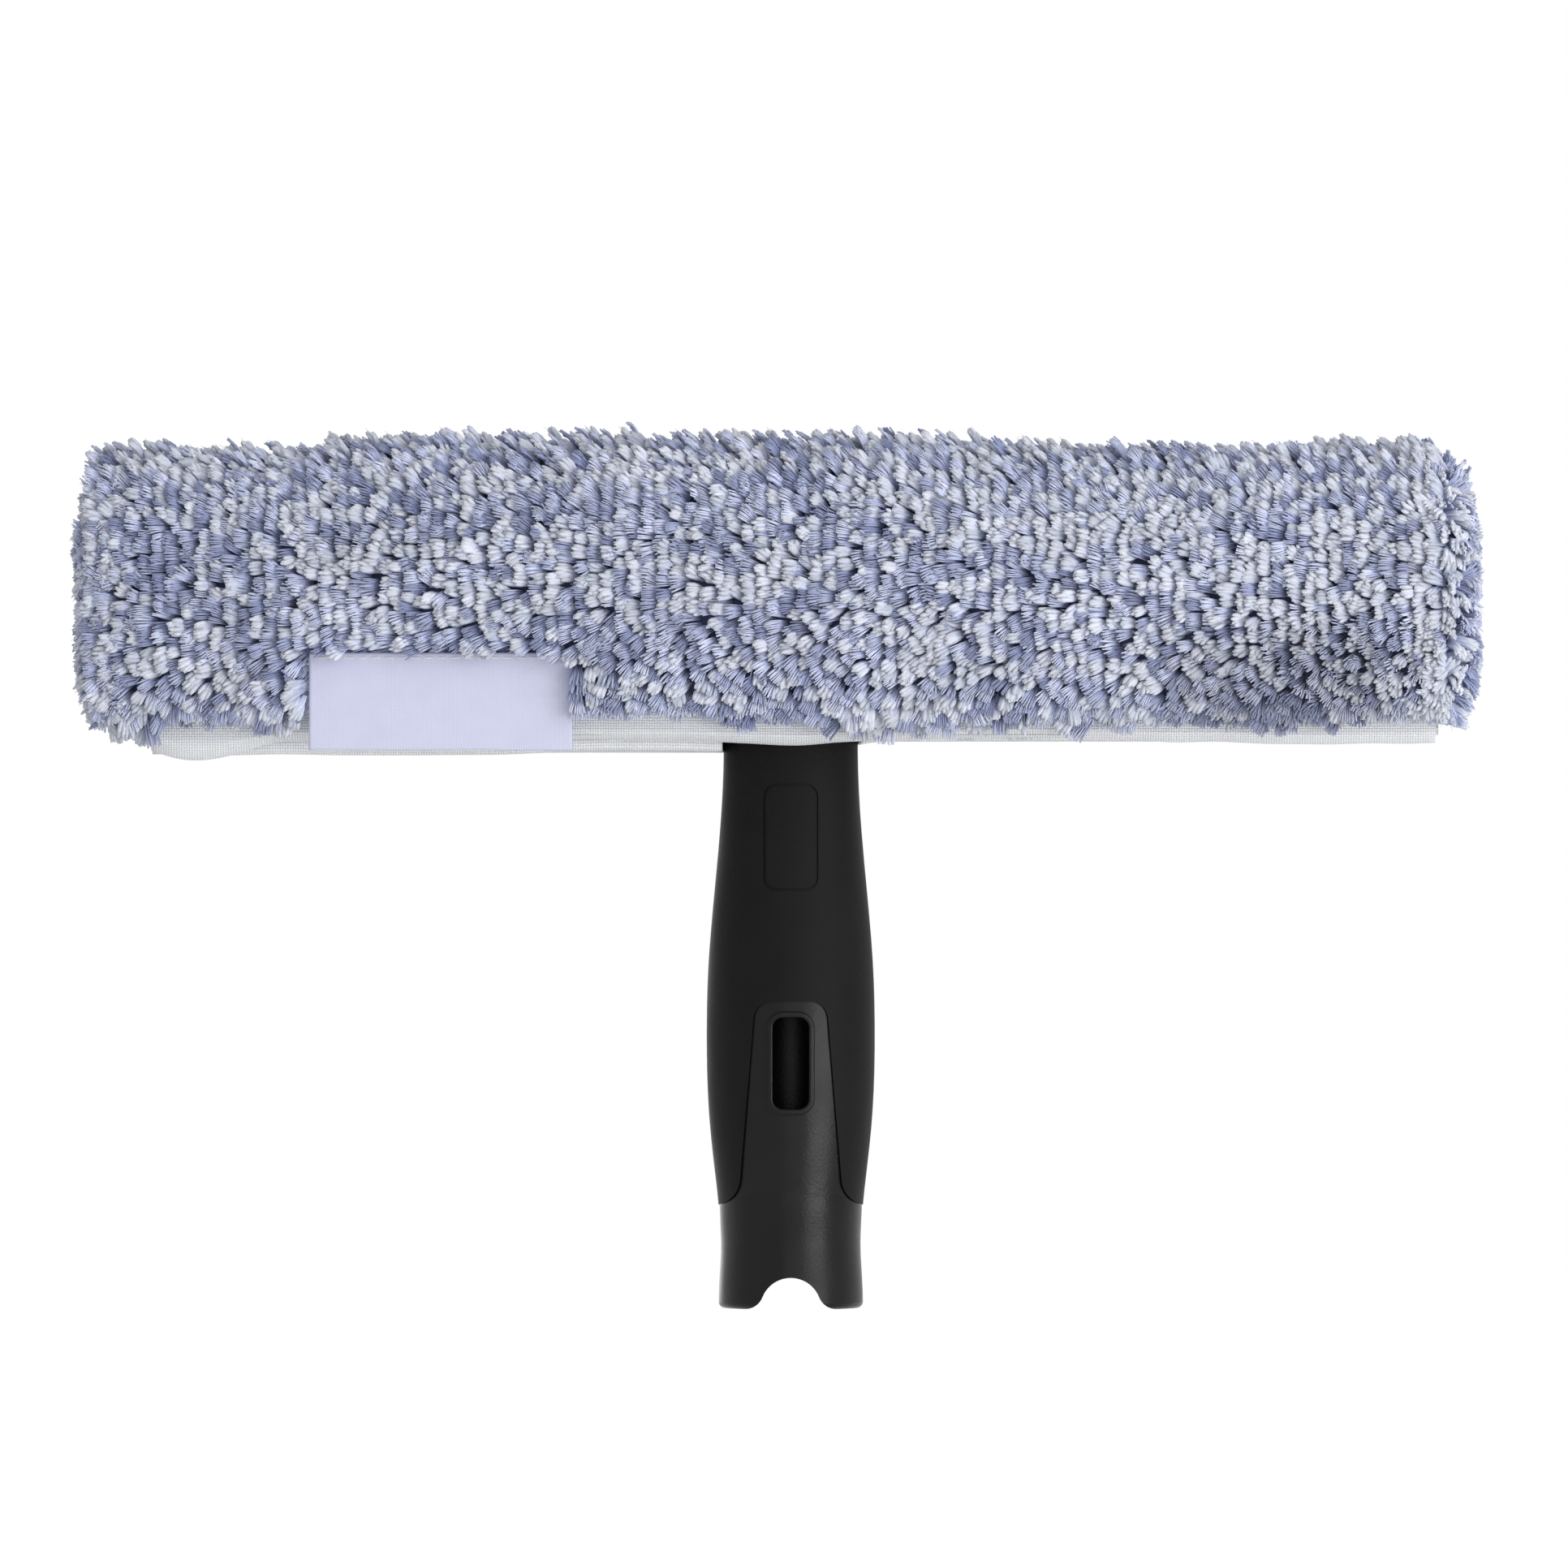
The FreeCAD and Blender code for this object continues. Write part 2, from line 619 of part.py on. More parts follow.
def label():
    """Woven label lying along the leaning side, with a rolled upper edge to hang from."""
    left, right = label_span(0)
    shell = lining_prism(left, right, LABEL_STANDOFF + LABEL_THICKNESS).cut(lining_prism(left, right, LABEL_STANDOFF))
    depth = LINING_MOUTH_HALF + LABEL_STANDOFF + LABEL_THICKNESS + OVERRUN
    sheet = shell.common(box(left, right, -depth, 0, LABEL_TOP - LABEL_HEIGHT, LABEL_TOP))
    half = LABEL_THICKNESS / 2
    return sheet.fuse(rod(half, left, right, -lining_half_at(LABEL_TOP, LABEL_STANDOFF + half), LABEL_TOP))


PARTS = {
    "handle_core": handle_core(),
    "grip_cover": grip_cover(),
    "bar_tube": bar_tube(),
    "bar_insert": bar_insert(),
    "bar_cap_left": bar_cap(LEFT),
    "bar_cap_right": bar_cap(RIGHT),
    "bar_screws": Part.makeCompound(screws(0)),
    "pile_wrap": pile_wrap(),
    "pile_end_left": pile_end(LEFT),
    "pile_end_right": pile_end(RIGHT),
    "lining_wrap": lining_wrap(),
    "lining_end_left": lining_end(LEFT),
    "lining_end_right": lining_end(RIGHT),
    "front_hem": hem_band(FRONT),
    "rear_hem": hem_band(REAR),
    "front_flap": flap(FRONT, FRONT_FLAP_AXIS, FRONT_FLAP_REACH),
    "hook_tape_left": hook_tape(LEFT),
    "hook_tape_right": hook_tape(RIGHT),
    "rear_flap": flap(REAR, REAR_FLAP_AXIS, REAR_FLAP_REACH),
    "loop_tape_left": loop_tape(LEFT),
    "loop_tape_right": loop_tape(RIGHT),
    "label": label(),
}

os.makedirs("parts", exist_ok=True)
for name, shape in PARTS.items():
    shape.exportStep("parts/" + name + ".step")
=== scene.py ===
"""Looks of a window scrubber: a T-bar with a moulded handle and a washable sleeve of blue and white pile.

Everything is in metres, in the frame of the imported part: the origin is the middle of the socket's mouth,
+Z runs up the handle, +X along the bar, and the front faces -Y.
"""

import logging
import math
from collections.abc import Callable
from dataclasses import dataclass, field
from enum import Enum

import bmesh
import bpy
import numpy as np
from mathutils import Color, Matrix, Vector


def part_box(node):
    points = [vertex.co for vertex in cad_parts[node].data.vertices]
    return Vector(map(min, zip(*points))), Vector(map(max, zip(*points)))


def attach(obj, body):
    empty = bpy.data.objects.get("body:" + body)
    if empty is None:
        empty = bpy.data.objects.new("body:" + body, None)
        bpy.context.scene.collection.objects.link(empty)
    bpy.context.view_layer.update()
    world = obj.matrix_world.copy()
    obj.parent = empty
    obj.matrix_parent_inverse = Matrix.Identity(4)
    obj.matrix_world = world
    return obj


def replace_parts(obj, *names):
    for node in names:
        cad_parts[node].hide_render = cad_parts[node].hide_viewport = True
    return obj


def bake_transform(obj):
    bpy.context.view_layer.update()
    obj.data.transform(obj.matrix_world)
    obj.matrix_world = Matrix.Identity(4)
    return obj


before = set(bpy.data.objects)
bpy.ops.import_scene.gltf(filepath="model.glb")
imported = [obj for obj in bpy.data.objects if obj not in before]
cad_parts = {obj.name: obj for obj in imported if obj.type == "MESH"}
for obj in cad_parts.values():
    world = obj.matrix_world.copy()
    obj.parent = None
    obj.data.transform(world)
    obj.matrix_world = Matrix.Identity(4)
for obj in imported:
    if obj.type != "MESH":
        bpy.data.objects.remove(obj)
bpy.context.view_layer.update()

MM = 0.001
SEED = 1932
TINY = 1e-12
GOLDEN_ANGLE = math.pi * (3 - math.sqrt(5))
FULL_CHANNEL = 255
LOG = logging.getLogger("window_scrubber")

Colour = tuple[float, float, float, float]
Inputs = dict[str | int, object]
UP = np.array([0.0, 0.0, 1.0])
RIGHT = np.array([1.0, 0.0, 0.0])


class Wander(Enum):
    """Slow variations over a surface, each with the seed of its own draw."""

    YARN_FINE = SEED + 1
    YARN_BROAD = SEED + 2
    LEAN = SEED + 3
    FRONT_FOLD = SEED + 7
    FRONT_WAVE = SEED + 8
    REAR_SAG = SEED + 9
    REAR_WAVE = SEED + 10
    LINING_CREASE = SEED + 11
    LABEL_RIPPLE = SEED + 12
    LABEL_HEM = SEED + 13


class Side(Enum):
    """The two long faces of the sleeve, as the sign of their place across the bar."""

    FRONT = -1
    REAR = 1


class End(Enum):
    """The two ends of the sleeve, as the sign of their place along the bar."""

    LEFT = -1
    RIGHT = 1


class Yarn(Enum):
    """The two yarns that the pile is tufted from."""

    BLUE = "blue"
    WHITE = "white"


class Fastener(Enum):
    """The two halves of the sleeve's closing tape."""

    HOOK = "hook"
    LOOP = "loop"


def srgb(red: float, green: float, blue: float) -> Colour:
    """Gives the linear colour of one written as a screen shows it."""
    screen = Color(channel / FULL_CHANNEL for channel in (red, green, blue))
    return (*screen.from_srgb_to_scene_linear(), 1.0)


def unit(vectors: np.ndarray) -> np.ndarray:
    """Vectors scaled to length one along their last axis."""
    return vectors / np.maximum(np.linalg.norm(vectors, axis=-1, keepdims=True), TINY)


def smooth_step(value: np.ndarray, low: float, high: float) -> np.ndarray:
    """Eases from 0 at low to 1 at high."""
    share = np.clip((value - low) / (high - low), 0.0, 1.0)
    return share * share * (3 - 2 * share)


def curve_through(points: np.ndarray, steps: int) -> np.ndarray:
    """Draws a smooth curve through points, evenly stepped between each two.

    Args:
        points: Points along axis 0, of any further shape.
        steps: Steps from one point to the next.

    Returns:
        The points of the curve along axis 0.
    """
    before = np.concatenate([2 * points[:1] - points[1:2], points[:-2]])
    start, end = points[:-1], points[1:]
    after = np.concatenate([points[2:], 2 * points[-1:] - points[-2:-1]])
    share = (np.arange(steps) / steps).reshape((1, steps) + (1,) * (points.ndim - 1))
    p0, p1, p2, p3 = (a[:, None] for a in (before, start, end, after))
    drawn = 0.5 * (
        2 * p1
        + (p2 - p0) * share
        + (2 * p0 - 5 * p1 + 4 * p2 - p3) * share**2
        + (3 * p1 - p0 - 3 * p2 + p3) * share**3
    )
    return np.concatenate([drawn.reshape((-1,) + points.shape[1:]), points[-1:]])


def grid_faces(rows: int, columns: int) -> np.ndarray:
    """Corner indices of the quads of a grid of points, row after row."""
    first = (np.arange(rows - 1)[:, None] * columns + np.arange(columns - 1)).ravel()
    return np.stack([first, first + 1, first + columns + 1, first + columns], axis=1)


def run_along(line: np.ndarray) -> np.ndarray:
    """Length from the start of a line to each of its points."""
    return np.concatenate([[0.0], np.cumsum(np.linalg.norm(np.diff(line, axis=0), axis=1))])


def across_bar(flat: np.ndarray) -> np.ndarray:
    """Rows of y, z as rows of x, y, z with nothing along the bar."""
    return np.concatenate([np.zeros((len(flat), 1)), flat], axis=1)


def end_grid(line: np.ndarray, columns: int) -> tuple[np.ndarray, np.ndarray]:
    """Spans the end of a sleeve between the front and rear halves of its outline.

    Args:
        line: Rows of y, z from the front hem to the rear hem.
        columns: Points from front to rear.

    Returns:
        Row, column and y, z of the grid, and its faces.
    """
    rows = len(line) // 2
    across = np.linspace(0.0, 1.0, columns)[None, :, None]
    grid = line[:rows, None] * (1 - across) + line[::-1][:rows, None] * across
    return grid, grid_faces(rows, columns)


def mesh_piece(
    name: str, points: np.ndarray, faces: np.ndarray, finish: bpy.types.Material
) -> bpy.types.Object:
    """Makes a smooth-shaded mesh object from arrays.

    Args:
        name: The piece's name.
        points: One row of x, y, z for each vertex.
        faces: One row of vertex indices for each face, all with as many corners.
        finish: The piece's material.

    Returns:
        The new object, linked to the scene.
    """
    mesh = bpy.data.meshes.new(name)
    mesh.vertices.add(len(points))
    mesh.vertices.foreach_set("co", np.ascontiguousarray(points, np.float32).ravel())
    mesh.loops.add(faces.size)
    mesh.loops.foreach_set("vertex_index", np.ascontiguousarray(faces, np.int32).ravel())
    mesh.polygons.add(len(faces))
    mesh.polygons.foreach_set("loop_start", np.arange(0, faces.size, faces.shape[1], dtype=np.int32))
    mesh.update(calc_edges=True)
    mesh.shade_smooth()
    mesh.materials.append(finish)
    piece = bpy.data.objects.new(name, mesh)
    bpy.context.scene.collection.objects.link(piece)
    return piece


def paint(piece: bpy.types.Object, name: str, colours: np.ndarray) -> None:
    """Stores a colour for each vertex of a piece.

    Args:
        piece: The mesh object.
        name: The attribute's name.
        colours: One linear red, green, blue for each vertex.
    """
    layer = piece.data.color_attributes.new(name, "FLOAT_COLOR", "POINT")
    full = np.concatenate([colours, np.ones((len(colours), 1))], axis=1)
    layer.data.foreach_set("color", full.astype(np.float32).ravel())


def lay_flat(piece: bpy.types.Object, name: str, flat: np.ndarray) -> None:
    """Stores the flat place of each vertex as a UV map.

    Args:
        piece: The mesh object.
        name: The map's name.
        flat: One u, v for each vertex.
    """
    layer = piece.data.uv_layers.new(name=name)
    corners = np.empty(len(piece.data.loops), np.int32)
    piece.data.loops.foreach_get("vertex_index", corners)
    layer.uv.foreach_set("vector", flat[corners].astype(np.float32).ravel())


def thicken(piece: bpy.types.Object, thickness: float) -> None:
    """Gives a sheet its cloth thickness, half to each side.

    Args:
        piece: The sheet.
        thickness: The cloth's thickness.
    """
    layer = piece.modifiers.new("cloth_thickness", "SOLIDIFY")
    layer.thickness = thickness
    layer.offset = 0.0


class NodeBench:
    """Adds nodes to a node tree, sets their inputs and links them."""

    def __init__(self, tree: bpy.types.NodeTree) -> None:
        """Works on the given tree."""
        self.tree = tree

    def wire(self, node: bpy.types.Node, inputs: Inputs) -> bpy.types.Node:
        """Sets or links inputs of a node.

        Args:
            node: The node.
            inputs: Socket name or index to a value, or to an output socket to link from.

        Returns:
            The same node.
        """
        for key, value in inputs.items():
            if isinstance(value, bpy.types.NodeSocket):
                self.tree.links.new(value, node.inputs[key])
            else:
                node.inputs[key].default_value = value
        return node

    def add(self, kind: str, inputs: Inputs | None = None, **settings: object) -> bpy.types.Node:
        """Adds one node.

        Args:
            kind: The node's Blender type.
            inputs: What its inputs are set to or linked from.
            settings: Properties of the node itself.

        Returns:
            The new node.
        """
        node = self.tree.nodes.new(kind)
        for key, value in settings.items():
            setattr(node, key, value)
        return self.wire(node, inputs or {})

    def place(self) -> bpy.types.NodeSocket:
        """Adds the place on the piece, in metres."""
        return self.add("ShaderNodeTexCoord").outputs["Object"]

    def group(self, tree: bpy.types.NodeTree, inputs: Inputs) -> bpy.types.NodeOutputs:
        """Adds a shared node group and gives its outputs."""
        return self.add("ShaderNodeGroup", inputs, node_tree=tree).outputs

    def math(self, operation: str, first: object, second: object = 0.0) -> bpy.types.NodeSocket:
        """Adds a Math node."""
        return self.add("ShaderNodeMath", {0: first, 1: second}, operation=operation).outputs[0]

    def ramp(
        self, value: object, low: float, high: float, start: object, end: object
    ) -> bpy.types.NodeSocket:
        """Maps a value from one range to another, clamped."""
        inputs = {0: value, 1: low, 2: high, 3: start, 4: end}
        return self.add("ShaderNodeMapRange", inputs).outputs[0]

    def mix(self, share: object, first: object, second: object, blend: str = "MIX") -> bpy.types.NodeSocket:
        """Mixes two colours."""
        inputs = {0: share, 6: first, 7: second}
        return self.add("ShaderNodeMix", inputs, data_type="RGBA", blend_type=blend).outputs[2]

    def noise(self, place: object, scale: object, detail: float = 2.0) -> bpy.types.NodeSocket:
        """Adds smooth noise from 0 to 1."""
        inputs = {"Vector": place, "Scale": scale, "Detail": detail}
        return self.add("ShaderNodeTexNoise", inputs).outputs[0]

    def bump(self, strength: float, depth: float, height: object) -> bpy.types.NodeSocket:
        """Adds the normal of a surface raised by a height."""
        inputs = {"Strength": strength, "Distance": depth, "Height": height}
        return self.add("ShaderNodeBump", inputs).outputs[0]


class EffectGroups:
    """The node groups that several finishes share, each built once."""

    SLUB_SCALE = 900.0
    SLUB_TONE_SCALE = 160.0
    THREAD_SHOULDER = 0.35
    GAP_RANGE = (0.05, 0.55)
    CELL_SHARE = 0.5
    SCUFF_STRETCH = (900.0, 900.0, 90.0)
    SCUFF_RANGE = (0.66, 0.8)
    FLECK_SCALE = 1600.0
    CLOUD_SCALE = 45.0
    FINE_DETAIL = 3.0
    SLOW_DETAIL = 4.0

    def __init__(self) -> None:
        """Builds every group."""
        self.weave = self._weave()
        self.grain = self._grain()
        self.heather = self._heather()

    @staticmethod
    def _start(
        name: str, inputs: dict[str, str], outputs: dict[str, str]
    ) -> tuple[bpy.types.NodeTree, NodeBench, bpy.types.NodeOutputs]:
        """Makes an empty group with its sockets.

        Args:
            name: The group's name.
            inputs: Name and short type of each input.
            outputs: Name and short type of each output.

        Returns:
            The group, its bench and the sockets of its inputs.
        """
        tree = bpy.data.node_groups.new(name, "ShaderNodeTree")
        for way, sockets in (("INPUT", inputs), ("OUTPUT", outputs)):
            for socket, kind in sockets.items():
                tree.interface.new_socket(socket, in_out=way, socket_type=f"NodeSocket{kind}")
        bench = NodeBench(tree)
        return tree, bench, bench.add("NodeGroupInput").outputs

    def _weave(self) -> bpy.types.NodeTree:
        """Builds a plain weave from a flat place in metres and the threads in a metre each way.

        Returns:
            The group, with the threads' height, a mask of the gaps between them, where the cloths paint shade,
            and a slow tone.
        """
        tree, bench, given = self._start(
            "plain_weave",
            {"Flat": "Vector", "Warp": "Float", "Weft": "Float", "Slub": "Float"},
            {"Height": "Float", "Gap": "Float", "Slub Tone": "Float"},
        )
        slub = bench.noise(given["Flat"], self.SLUB_SCALE)
        drift = bench.math("MULTIPLY", bench.math("SUBTRACT", slub, 0.5), given["Slub"])
        parts = bench.add("ShaderNodeSeparateXYZ", {0: given["Flat"]}).outputs
        threads = []
        for part, count in ((parts[0], given["Warp"]), (parts[1], given["Weft"])):
            threads.append(bench.math("ADD", bench.math("MULTIPLY", part, count), drift))
        cell = bench.math("ADD", *(bench.math("FLOOR", thread) for thread in threads))
        turn = bench.math("FLOORED_MODULO", cell, 2.0)
        turns = [bench.math("MULTIPLY", bench.math("FRACT", thread), math.pi) for thread in threads]
        crowns = [bench.math("SINE", angle) for angle in turns]
        raised = []
        for crown, other in (crowns, crowns[::-1]):
            shoulder = bench.ramp(other, 0.0, 1.0, self.THREAD_SHOULDER, 1.0)
            raised.append(bench.math("MULTIPLY", crown, shoulder))
        inputs = {0: turn, 2: raised[0], 3: raised[1]}
        height = bench.add("ShaderNodeMix", inputs, data_type="FLOAT").outputs[0]
        gap = bench.ramp(height, *self.GAP_RANGE, 1.0, 0.0)
        tone = bench.noise(given["Flat"], self.SLUB_TONE_SCALE, self.SLOW_DETAIL)
        bench.add("NodeGroupOutput", {"Height": height, "Gap": gap, "Slub Tone": tone})
        return tree

    def _grain(self) -> bpy.types.NodeTree:
        """Builds the fine spark grain, slow mottle and scuffs of a moulded face.

        Returns:
            The group, with the grain's height, the mottle and a mask of the scuffs.
        """
        tree, bench, given = self._start(
            "moulded_grain",
            {"Place": "Vector", "Grain": "Float", "Mottle": "Float"},
            {"Height": "Float", "Mottle": "Float", "Scuff": "Float"},
        )
        place = given["Place"]
        pits = bench.noise(place, given["Grain"], self.FINE_DETAIL)
        cells = bench.add("ShaderNodeTexVoronoi", {"Vector": place, "Scale": given["Grain"]})
        height = bench.math("ADD", pits, bench.math("MULTIPLY", cells.outputs["Distance"], self.CELL_SHARE))
        slow = bench.noise(place, given["Mottle"], self.SLOW_DETAIL)
        streak = bench.add("ShaderNodeVectorMath", {0: place, 1: self.SCUFF_STRETCH}, operation="MULTIPLY")
        scuff = bench.ramp(bench.noise(streak.outputs[0], 1.0), *self.SCUFF_RANGE, 0.0, 1.0)
        bench.add("NodeGroupOutput", {"Height": height, "Mottle": slow, "Scuff": scuff})
        return tree

    def _heather(self) -> bpy.types.NodeTree:
        """Builds the uneven tone of spun yarn over a given colour.

        Returns:
            The group, with the toned colour and the flecks.
        """
        tree, bench, given = self._start(
            "spun_heather",
            {"Colour": "Color", "Place": "Vector", "Amount": "Float"},
            {"Colour": "Color", "Fleck": "Float"},
        )
        fleck = bench.noise(given["Place"], self.FLECK_SCALE, self.FINE_DETAIL)
        cloud = bench.noise(given["Place"], self.CLOUD_SCALE)
        mean = bench.math("MULTIPLY", bench.math("ADD", fleck, cloud), 0.5)
        low = bench.math("SUBTRACT", 1.0, given["Amount"])
        high = bench.math("ADD", 1.0, given["Amount"])
        tone = bench.ramp(mean, *NOISE_RANGE, low, high)
        grey = bench.add("ShaderNodeCombineColor", {0: tone, 1: tone, 2: tone}).outputs[0]
        toned = bench.mix(1.0, given["Colour"], grey, "MULTIPLY")
        bench.add("NodeGroupOutput", {"Colour": toned, "Fleck": fleck})
        return tree


def new_finish(name: str) -> tuple[bpy.types.Material, NodeBench, bpy.types.Node]:
    """Makes an empty node material.

    Args:
        name: The finish's name.

    Returns:
        The material, its bench and its Principled node.
    """
    finish = bpy.data.materials.new(name)
    finish.use_nodes = True
    return finish, NodeBench(finish.node_tree), finish.node_tree.nodes["Principled BSDF"]


@dataclass(frozen=True)
class MouldedFinish:
    """Matt moulded plastic or rubber with a spark grain."""

    name: str
    colour: Colour
    lighter: Colour
    roughness: float
    specular: float
    grain: float
    grain_depth: float
    mottle: float = 60.0
    scuff: float = 0.35
    rough_swing: float = 0.05
    bump: float = 0.5

    def material(self, effects: EffectGroups) -> bpy.types.Material:
        """Builds the material.

        Args:
            effects: The shared node groups.

        Returns:
            The material.
        """
        finish, bench, shader = new_finish(self.name)
        inputs = {"Place": bench.place(), "Grain": self.grain, "Mottle": self.mottle}
        grain = bench.group(effects.grain, inputs)
        base = bench.mix(bench.ramp(grain["Mottle"], *NOISE_RANGE, 0.0, 1.0), self.colour, self.lighter)
        scuffed = bench.math("MULTIPLY", grain["Scuff"], self.scuff)
        low, high = self.roughness - self.rough_swing, self.roughness + self.rough_swing
        dress = {
            "Base Color": bench.mix(scuffed, base, self.lighter),
            "Roughness": bench.ramp(grain["Mottle"], *NOISE_RANGE, low, high),
            "Normal": bench.bump(self.bump, self.grain_depth, grain["Height"]),
            "Specular IOR Level": self.specular,
        }
        bench.wire(shader, dress)
        return finish


@dataclass(frozen=True)
class SteelFinish:
    """Turned steel of small screws."""

    name: str
    colour: Colour
    shade: Colour
    roughness: float
    grain: float = 4000.0
    mottle: float = 500.0
    mottle_range: tuple[float, float] = (0.2, 0.8)
    rough_swing: float = 0.15

    def material(self, effects: EffectGroups) -> bpy.types.Material:
        """Builds the material.

        Args:
            effects: The shared node groups.

        Returns:
            The material.
        """
        finish, bench, shader = new_finish(self.name)
        inputs = {"Place": bench.place(), "Grain": self.grain, "Mottle": self.mottle}
        mottle = bench.group(effects.grain, inputs)["Mottle"]
        rougher = self.roughness + self.rough_swing
        dress = {
            "Base Color": bench.mix(mottle, self.colour, self.shade),
            "Roughness": bench.ramp(mottle, *self.mottle_range, self.roughness, rougher),
            "Metallic": 1.0,
        }
        bench.wire(shader, dress)
        return finish


@dataclass(frozen=True)
class ClothFinish:
    """Woven cloth, laid out by its flat map in metres."""

    name: str
    thread: Colour
    # Darker colour drawn in the gaps between the threads: painted shade where the weave is low.
    gap: Colour
    warp: float
    weft: float
    slub: float
    depth: float
    strength: float = 0.6
    sheen: float = 0.0
    dust_range: tuple[float, float] = (0.35, 0.75)
    dust: float = 0.22
    thread_roughness: float = 0.82
    gap_roughness: float = 0.95
    specular: float = 0.25

    def material(self, effects: EffectGroups) -> bpy.types.Material:
        """Builds the material.

        Args:
            effects: The shared node groups.

        Returns:
            The material.
        """
        finish, bench, shader = new_finish(self.name)
        flat = bench.add("ShaderNodeUVMap", uv_map=CLOTH_MAP).outputs[0]
        inputs = {"Flat": flat, "Warp": self.warp, "Weft": self.weft, "Slub": self.slub}
        weave = bench.group(effects.weave, inputs)
        dust = bench.ramp(weave["Slub Tone"], *self.dust_range, 0.0, self.dust)
        dusted = bench.mix(dust, self.thread, self.gap)
        dress = {
            # The thread gaps take the darker colour as painted shade.
            "Base Color": bench.mix(weave["Gap"], dusted, self.gap),
            "Normal": bench.bump(self.strength, self.depth, weave["Height"]),
            "Roughness": bench.ramp(weave["Gap"], 0.0, 1.0, self.thread_roughness, self.gap_roughness),
            "Specular IOR Level": self.specular,
            "Sheen Weight": self.sheen,
        }
        bench.wire(shader, dress)
        return finish


@dataclass(frozen=True)
class YarnFinish:
    """Spun yarn whose colour is stored on each filament."""

    name: str
    amount: float
    roughness: float
    sheen: float
    smoother: float = 0.08
    rougher: float = 0.06
    bump: float = 0.35
    bump_depth: float = 0.1 * MM
    specular: float = 0.2
    sheen_roughness: float = 0.5

    def material(self, effects: EffectGroups) -> bpy.types.Material:
        """Builds the material.

        Args:
            effects: The shared node groups.

        Returns:
            The material.
        """
        finish, bench, shader = new_finish(self.name)
        yarn = bench.add("ShaderNodeVertexColor", layer_name=YARN_COLOUR).outputs["Color"]
        inputs = {"Colour": yarn, "Place": bench.place(), "Amount": self.amount}
        heather = bench.group(effects.heather, inputs)
        low, high = self.roughness - self.smoother, self.roughness + self.rougher
        dress = {
            "Base Color": heather["Colour"],
            "Roughness": bench.ramp(heather["Fleck"], *NOISE_RANGE, low, high),
            "Normal": bench.bump(self.bump, self.bump_depth, heather["Fleck"]),
            "Specular IOR Level": self.specular,
            "Sheen Weight": self.sheen,
            "Sheen Roughness": self.sheen_roughness,
        }
        bench.wire(shader, dress)
        return finish


CLOTH_MAP = "cloth"
YARN_COLOUR = "yarn"
BAKE_MAP = "OFBake"
NOISE_RANGE = (0.3, 0.7)

CORE_PLASTIC = MouldedFinish(
    "core_plastic_black", srgb(11, 11, 12), srgb(16, 16, 17),
    roughness=0.31, specular=0.16, grain=1500.0, grain_depth=0.06 * MM,
)
GRIP_RUBBER = MouldedFinish(
    "grip_rubber_black", srgb(16, 16, 17), srgb(22, 22, 23),
    roughness=0.55, specular=0.08, grain=1100.0, grain_depth=0.09 * MM,
)
BAR_PLASTIC = MouldedFinish(
    "bar_plastic_dark", srgb(40, 41, 43), srgb(52, 53, 56),
    roughness=0.45, specular=0.35, grain=1400.0, grain_depth=0.05 * MM,
)
CAP_PLASTIC = MouldedFinish(
    "cap_plastic_dark", srgb(30, 30, 32), srgb(42, 42, 44),
    roughness=0.5, specular=0.35, grain=1600.0, grain_depth=0.05 * MM,
)
SCREW_STEEL = SteelFinish("screw_steel", srgb(190, 190, 188), srgb(150, 150, 150), roughness=0.3)
CANVAS = ClothFinish(
    "mouth_canvas", srgb(238, 239, 241), srgb(190, 194, 200),
    warp=1550.0, weft=1450.0, slub=0.5, depth=0.35 * MM,
)
LINING = ClothFinish(
    "lining_canvas", srgb(226, 228, 226), srgb(160, 165, 166),
    warp=1300.0, weft=1300.0, slub=0.6, depth=0.35 * MM,
)
LABEL_WEAVE = ClothFinish(
    "label_weave", srgb(202, 204, 224), srgb(180, 182, 208),
    warp=1900.0, weft=3600.0, slub=0.3, depth=0.1 * MM, strength=0.35,
)
TAPE_WEAVE = ClothFinish(
    "tape_weave", srgb(232, 233, 232), srgb(186, 189, 190),
    warp=2200.0, weft=2200.0, slub=0.4, depth=0.2 * MM,
)
STITCH_THREAD = ClothFinish(
    "stitch_thread", srgb(240, 240, 238), srgb(200, 202, 204),
    warp=3200.0, weft=3200.0, slub=0.3, depth=0.1 * MM,
)
PILE_YARN = YarnFinish("pile_yarn", amount=0.12, roughness=0.88, sheen=0.25)
BACKING_KNIT = YarnFinish("backing_knit", amount=0.3, roughness=0.95, sheen=0.0)
TAPE_YARN = YarnFinish("tape_yarn", amount=0.08, roughness=0.8, sheen=0.1)


@dataclass(frozen=True)
class Streaks:
    """Seeded smooth noise from -1 to 1 over a surface, in patches of a given size."""

    seed: int
    along: float
    across: float
    cells: int = 192

    def at(self, x: np.ndarray, s: np.ndarray) -> np.ndarray:
        """Reads the noise.

        Args:
            x: Place along the first direction.
            s: Place along the second direction.

        Returns:
            The noise at each place.
        """
        lattice = np.random.default_rng(self.seed).uniform(-1.0, 1.0, (self.cells, self.cells))
        u, v = np.asarray(x) / self.along + self.cells / 2, np.asarray(s) / self.across + self.cells / 4
        i, j = np.floor(u).astype(int), np.floor(v).astype(int)
        fu, fv = smooth_step(u - i, 0.0, 1.0), smooth_step(v - j, 0.0, 1.0)
        i0, i1, j0, j1 = (k % self.cells for k in (i, i + 1, j, j + 1))
        low = lattice[i0, j0] * (1 - fu) + lattice[i1, j0] * fu
        high = lattice[i0, j1] * (1 - fu) + lattice[i1, j1] * fu
        return low * (1 - fv) + high * fv


